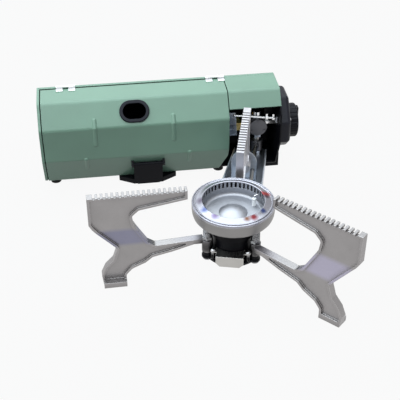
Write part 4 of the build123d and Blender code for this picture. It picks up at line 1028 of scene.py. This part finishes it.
@dataclass
class SwingArm:
    """Zinc plated arm with the gas line and the rear casting."""

    stock: Stock
    casting_edges: Rounding = Rounding(0.0007, 28)
    sheet_edges: Rounding = Rounding(0.0003)

    def build(self) -> None:
        """Builds and dresses the arm."""
        stock = self.stock
        stock.soften(SUPPORT_CASTING, self.casting_edges, "rear_support")
        stock.soften(ARM_ZINC, self.sheet_edges, "swing_arm")
        stock.dress(ARM_ZINC, "rear_support_fixing", "pipe_rest")
        stock.dress(DIE_CAST, "swivel_elbow")
        stock.dress(STAINLESS, "gas_pipe", "mixing_tube")
        stock.dress(BRASS, "gas_nozzle")


@dataclass
class Burner:
    """Round burner with its polished ring, slotted bowl, side band and posts."""

    stock: Stock
    posts: PostCircle = PostCircle()
    ring_wall: float = 0.0012
    ring_overlap: float = 0.0002
    bead: float = 0.0007
    bead_share: float = 0.72
    groove_share: float = 0.83
    groove_half: float = 0.4  # in bead radii
    slope_share: float = 0.46
    slope_start: Point2 = (4, 1.3)  # outwards and down from the inner top edge, in lips
    slope_foot: Point2 = (1.6, 0.2)  # inwards of the bead in bead radii, and up in walls
    rim_drop: float = 0.8  # in bead radii
    inside_rise: Point2 = (0.3, -1.5)  # at the foot of the rim and under the bead, in walls
    lip: float = 0.0008
    slots: int = 45
    slot_width: float = 0.0020
    slot_height: float = 0.0065
    bowl_wall: float = 0.0012
    dome_radius: float = 0.0143
    dome_rise: float = 0.0044
    dome_foot: float = 0.0020
    floor_thickness: float = 0.0028
    corner: float = 0.0036
    band_turn_share: float = 0.55
    band_hole_share: float = 0.46
    band_chamfer: float = 0.0004
    bracket_edges: Rounding = Rounding(0.0003)
    thread: ThreadStack = ThreadStack("post_threads", 0.0040, 0.0016, 0.00055)
    # Share of the turn inwards and share of the height, up the outside and down the inside of the band.
    band_outside: tuple[Point2, ...] = ((0.6, 0.0), (0.34, 0.10), (0.15, 0.24), (0.05, 0.42), (0.0, 0.66))
    band_inside: tuple[Point2, ...] = ((0.0, 0.66), (0.06, 0.42), (0.18, 0.26), (0.45, 0.08))
    # Heat tints of the ring, placed from a point on the axis at the tint height.
    tint_height: float = 0.0865
    tints: tuple[Tint, ...] = (
        Tint((0.0325, 0.0062, 0.0), (0.36, 0.004, 0.004), 0.0062),
        Tint((0.0143, -0.0294, 0.0), (0.12, 0.008, 0.010), 0.0058),
        Tint((0.0076, -0.0316, 0.0), (0.11, 0.045, 0.020), 0.0046),
        Tint((0.0251, -0.0212, 0.0), (0.03, 0.06, 0.20), 0.0042),
        Tint((-0.0208, -0.0229, 0.0), (0.12, 0.09, 0.17), 0.0062),
        Tint((-0.0294, -0.0121, 0.0), (0.07, 0.09, 0.19), 0.0064),
        Tint((-0.0318, 0.0030, 0.0), (0.13, 0.11, 0.15), 0.0064),
        Tint((0.0330, 0.0010, 0.0), (0.06, 0.02, 0.04), 0.0040),
    )

    def round_metal(self, name: str, colour: Colour, roughness: float) -> WorkedMetal:
        """Metal that was turned about the burner axis."""
        # turned metal: painted shade in its corners
        return WorkedMetal(name, colour, Grain.ROUND, roughness, grain_size=0.00025, grain_depth=0.000012,
                           blotch=0.06, centre=tuple(self.stock.axis(0)), corner_shade_tone=0.8)

    def ring_metal(self) -> WorkedMetal:
        """Polished metal of the ring, with the heat tints of its use.

        Returns:
            The finish.
        """
        origin = self.stock.axis(self.tint_height)
        tints = tuple(replace(tint, place=tuple(origin + Vector(tint.place))) for tint in self.tints)
        metal = self.round_metal("polished_burner_ring", (0.33, 0.33, 0.37), 0.24)
        # painted highlight along its edges and painted shade in its channel and corners
        return replace(metal, rough_change=0.04, grain_size=0.0002, grain_depth=0.000003, blotch=0.05,
                       edge=0.0005, edge_wear_and_highlight_gain=2.6, corner_shade_tone=0.35, corner_shade_reach=0.0015, tints=tints)

    def ring(self) -> None:
        """Ring with its inner lip, its polished slope, a bead and a rolled rim."""
        foot = self.stock.low("burner_ring").z
        height, seat = (self.stock.high(node).z - foot for node in ("burner_ring", "burner_bowl"))
        wall, round_bead, lip = self.ring_wall, self.bead, self.lip
        outer = self.stock.reach("burner_ring")
        inner = self.inner_radius() - self.ring_overlap
        bead, groove = (inner + share * (outer - inner) for share in (self.bead_share, self.groove_share))
        slope_end = self.slope_share * height
        profile = [(inner, seat)]
        profile += arc((inner + lip, height - lip), lip, 180, 60)
        profile += [(inner + self.slope_start[0] * lip, height - self.slope_start[1] * lip),
                    (bead - self.slope_foot[0] * round_bead, slope_end + self.slope_foot[1] * wall)]
        profile += arc((bead, slope_end), round_bead, 165, 15)
        half = self.groove_half * round_bead
        profile += [(groove - half, slope_end - round_bead), (groove + half, slope_end - round_bead)]
        profile += arc((outer - round_bead, slope_end - self.rim_drop * round_bead), round_bead, 120, 0)
        profile += [(outer, 0), (outer - wall, 0), (outer - wall, self.inside_rise[0] * wall),
                    (bead, slope_end + self.inside_rise[1] * wall), (inner + self.bowl_wall, seat)]
        piece = turned("polished_ring", profile, self.stock.axis(foot), segments=200)
        self.stock.seat(piece, "burner_ring", self.ring_metal())

    def inner_radius(self) -> float:
        """Radius of the bowl's inner wall."""
        return self.stock.reach("burner_bowl") - self.bowl_wall

    def bowl(self) -> None:
        """Bowl below the slots, with the dome in its floor, and the bars between the slots."""
        low, high = self.stock.low("burner_bowl").z, self.stock.high("burner_bowl").z
        inner, corner, floor = self.inner_radius(), self.corner, self.floor_thickness
        outer = inner + self.bowl_wall
        slot_foot = high - low - self.slot_height
        ball = (self.dome_radius**2 + self.dome_rise**2) / (2 * self.dome_rise)
        reach = math.degrees(math.asin(self.dome_radius / ball))
        profile = [(0, 0), (inner - corner, 0), (outer, corner), (outer, slot_foot), (inner, slot_foot)]
        profile += arc((inner - corner, floor + corner), corner, 0, -90, 8)
        profile += [(self.dome_radius + self.dome_foot, floor)]
        profile += arc((0, floor + self.dome_rise - ball), ball, 90 - reach, 90, 14)
        metal = self.round_metal("turned_bowl", (0.36, 0.37, 0.40), 0.46)
        piece = turned("dished_bowl", profile, self.stock.axis(low))
        bars = SlottedWall("slot_bars", inner + self.bowl_wall / 2, self.bowl_wall, self.slot_height,
                           self.slot_width, self.slots)
        crown = bars.grow(self.stock.axis(high - self.slot_height / 2), self.stock.finish(metal))
        self.stock.seat(piece, "burner_bowl", metal)
        self.stock.seat(crown, "burner_bowl", metal, replaces=False)

    def band(self) -> None:
        """Satin side band that curves in to the underside."""
        foot, wall = self.stock.low("burner_pan").z, self.ring_wall
        outer, height = self.stock.reach("burner_pan"), self.stock.high("burner_pan").z - foot
        turn, hole = self.band_turn_share * height, self.band_hole_share * outer
        profile = [(hole, 0)] + [(outer - inward * turn, rise * height) for inward, rise in self.band_outside]
        profile += [(outer, height - self.band_chamfer), (outer - self.band_chamfer, height),
                    (outer - wall, height)]
        profile += [(outer - wall - inward * turn, rise * height) for inward, rise in self.band_inside]
        profile += [(hole, wall)]
        metal = self.round_metal("satin_side_band", (0.275, 0.268, 0.265), 0.42)
        self.stock.seat(turned("side_band", profile, self.stock.axis(foot)), "burner_pan", metal)

    def threads(self) -> None:
        """Thread turns on the sleeves above the leg nuts."""
        low, high = self.stock.low("post_sleeves").z, self.stock.high("post_sleeves").z
        centre = self.stock.axis(low + self.thread.crest)
        feet = [self.posts.post(number, centre) for number in range(self.posts.count)]
        height = high - low - self.thread.crest
        piece = self.thread.grow(feet, height, self.stock.finish(SHADED_STUD))
        self.stock.seat(piece, "post_sleeves", SHADED_STUD, replaces=False)

    def build(self) -> None:
        """Builds and dresses the burner."""
        self.ring()
        self.bowl()
        self.band()
        self.threads()
        stock = self.stock
        stock.dress(BLACK_SHEET, "base_disc", "burner_drum", "post_washers")
        stock.dress(CERAMIC, "electrode_ceramic")
        stock.dress(BRIGHT, "electrode_wire")
        below = HeightBand(0.0, stock.high("leg_stop_bracket").z, (0.01, 0.01, 0.01))
        stock.dress(replace(BRIGHT, name="nickel_over_black", band=below), "stop_pillars_and_rivets")
        stock.dress(SHADED_STUD, "burner_posts", "post_nuts", "post_sleeves")
        stock.soften(STAINLESS, self.bracket_edges, "leg_stop_bracket")


@dataclass
class Leg:
    """Folding leg casting with its toothed top."""

    stock: Stock
    side: Side
    posts: PostCircle = PostCircle()
    edges: Rounding = Rounding(0.0007, 28)
    knuckle_depth: float = 0.007
    knuckle_shade_reach: float = 0.015
    flank: Point2 = (0.048, 0.070)

    def shaded_finish(self) -> WorkedMetal:
        """The casting's finish: painted light and shade on its sloping flank, and painted shade darkening the
        knuckle below the burner.

        Returns:
            The finish.
        """
        # flank_shading: painted shade on the left leg's sloping flank, painted light on the right's
        _, number, flank_shading = self.side.value
        # painted shade: a near black spot over the knuckle, which lies in shade below the burner's black
        # parts
        knuckle = self.stock.axis(self.stock.low("post_nuts").z - self.knuckle_depth)
        shade_spot = Tint(tuple(self.posts.post(number, knuckle)), NEAR_BLACK, self.knuckle_shade_reach)
        return replace(CASTING, name=f"casting_in_painted_shade_{self.side.name.lower()}", tints=(shade_spot,),
                       band=HeightBand(*self.flank, flank_shading))

    def build(self) -> None:
        """Builds the leg with rounded edges."""
        self.stock.soften(self.shaded_finish(), self.edges, self.side.value[0])


@dataclass(frozen=True)
class Softbox:
    """Soft square lamp, turned to its target."""

    name: str
    place: Point3
    target: Point3
    size: float
    power: float
    colour: Colour = (0.84, 0.94, 1.0)

    def light(self) -> None:
        """Adds the lamp."""
        lamp = bpy.data.lights.new(self.name, "AREA")
        lamp.size, lamp.energy, lamp.color = self.size, self.power, self.colour
        holder = linked(self.name, lamp)
        holder.location = self.place
        way = Vector(self.target) - Vector(self.place)
        holder.rotation_euler = way.to_track_quat("-Z", "Y").to_euler()


@dataclass
class Studio:
    """Pale floor, white surroundings and soft lamps."""

    floor_size: float = 8.0
    ambient: float = 0.09
    lamps: tuple[Softbox, ...] = (
        Softbox("back_softbox", (-0.40, 1.60, 1.50), (0.0, 0.05, 0.05), 2.2, 16.0),
        Softbox("top_softbox", (-0.30, -0.05, 1.7), (0.0, 0.0, 0.05), 3.2, 82.0),
        Softbox("left_softbox", (-1.5, -0.35, 0.8), (0.0, 0.0, 0.06), 1.2, 3.2),
    )

    def floor(self) -> None:
        """Floor under the stove."""
        half = self.floor_size / 2
        mesh = bpy.data.meshes.new("studio_floor")
        corners = [(-half, -half, 0), (half, -half, 0), (half, half, 0), (-half, half, 0)]
        mesh.from_pydata(corners, [], [(0, 1, 2, 3)])
        mesh.materials.append(StudioFloor().material())
        linked("studio_floor", mesh)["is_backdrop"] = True

    def world(self) -> None:
        """Surroundings that are white where they are seen and softer as light."""
        world = bpy.data.worlds.new("studio_world")
        world.use_nodes = True
        graph = Graph(world.node_tree)
        graph.tree.nodes.clear()
        strength = graph.ranged(graph.seen(), (0, 1), (self.ambient, 1))
        back = graph.node("ShaderNodeBackground", {"Strength": strength})
        graph.node("ShaderNodeOutputWorld", {"Surface": back.outputs[0]})
        bpy.context.scene.world = world

    def build(self) -> None:
        """Builds the studio."""
        self.floor()
        self.world()
        for lamp in self.lamps:
            lamp.light()
        bpy.context.scene.view_settings.view_transform = "Standard"


@dataclass
class PhotoCamera:
    """Camera at the photograph's place, worked out from the burner axis."""

    stock: Stock
    from_burner: Point3 = (-0.1295, -0.6999, 0.6017)
    heading: float = 7.85
    down: float = 35.9
    focal_pixels: float = 899.0
    picture: float = 400.0
    sensor: float = 36.0

    def build(self) -> None:
        """Adds the camera and makes it the scene's."""
        data = bpy.data.cameras.new("photo_camera")
        data.sensor_width = self.sensor
        data.lens = self.sensor * self.focal_pixels / self.picture
        camera = linked("photo_camera", data)
        camera.location = self.stock.axis(0) + Vector(self.from_burner)
        camera.rotation_euler = (math.radians(90 - self.down), 0, math.radians(-self.heading))
        bpy.context.scene.camera = camera


def main() -> None:
    """Builds the sub-assemblies, the studio and the camera in order."""
    logging.basicConfig(level=logging.INFO, format="%(name)s: %(message)s")
    stock = Stock()
    parts = [Housing(stock), ControlBox(stock), SwingArm(stock), Burner(stock), Leg(stock, Side.LEFT),
             Leg(stock, Side.RIGHT), Studio(), PhotoCamera(stock)]
    for part in parts:
        LOG.info("building %s", type(part).__name__)
        part.build()


if __name__ == "__main__":
    main()
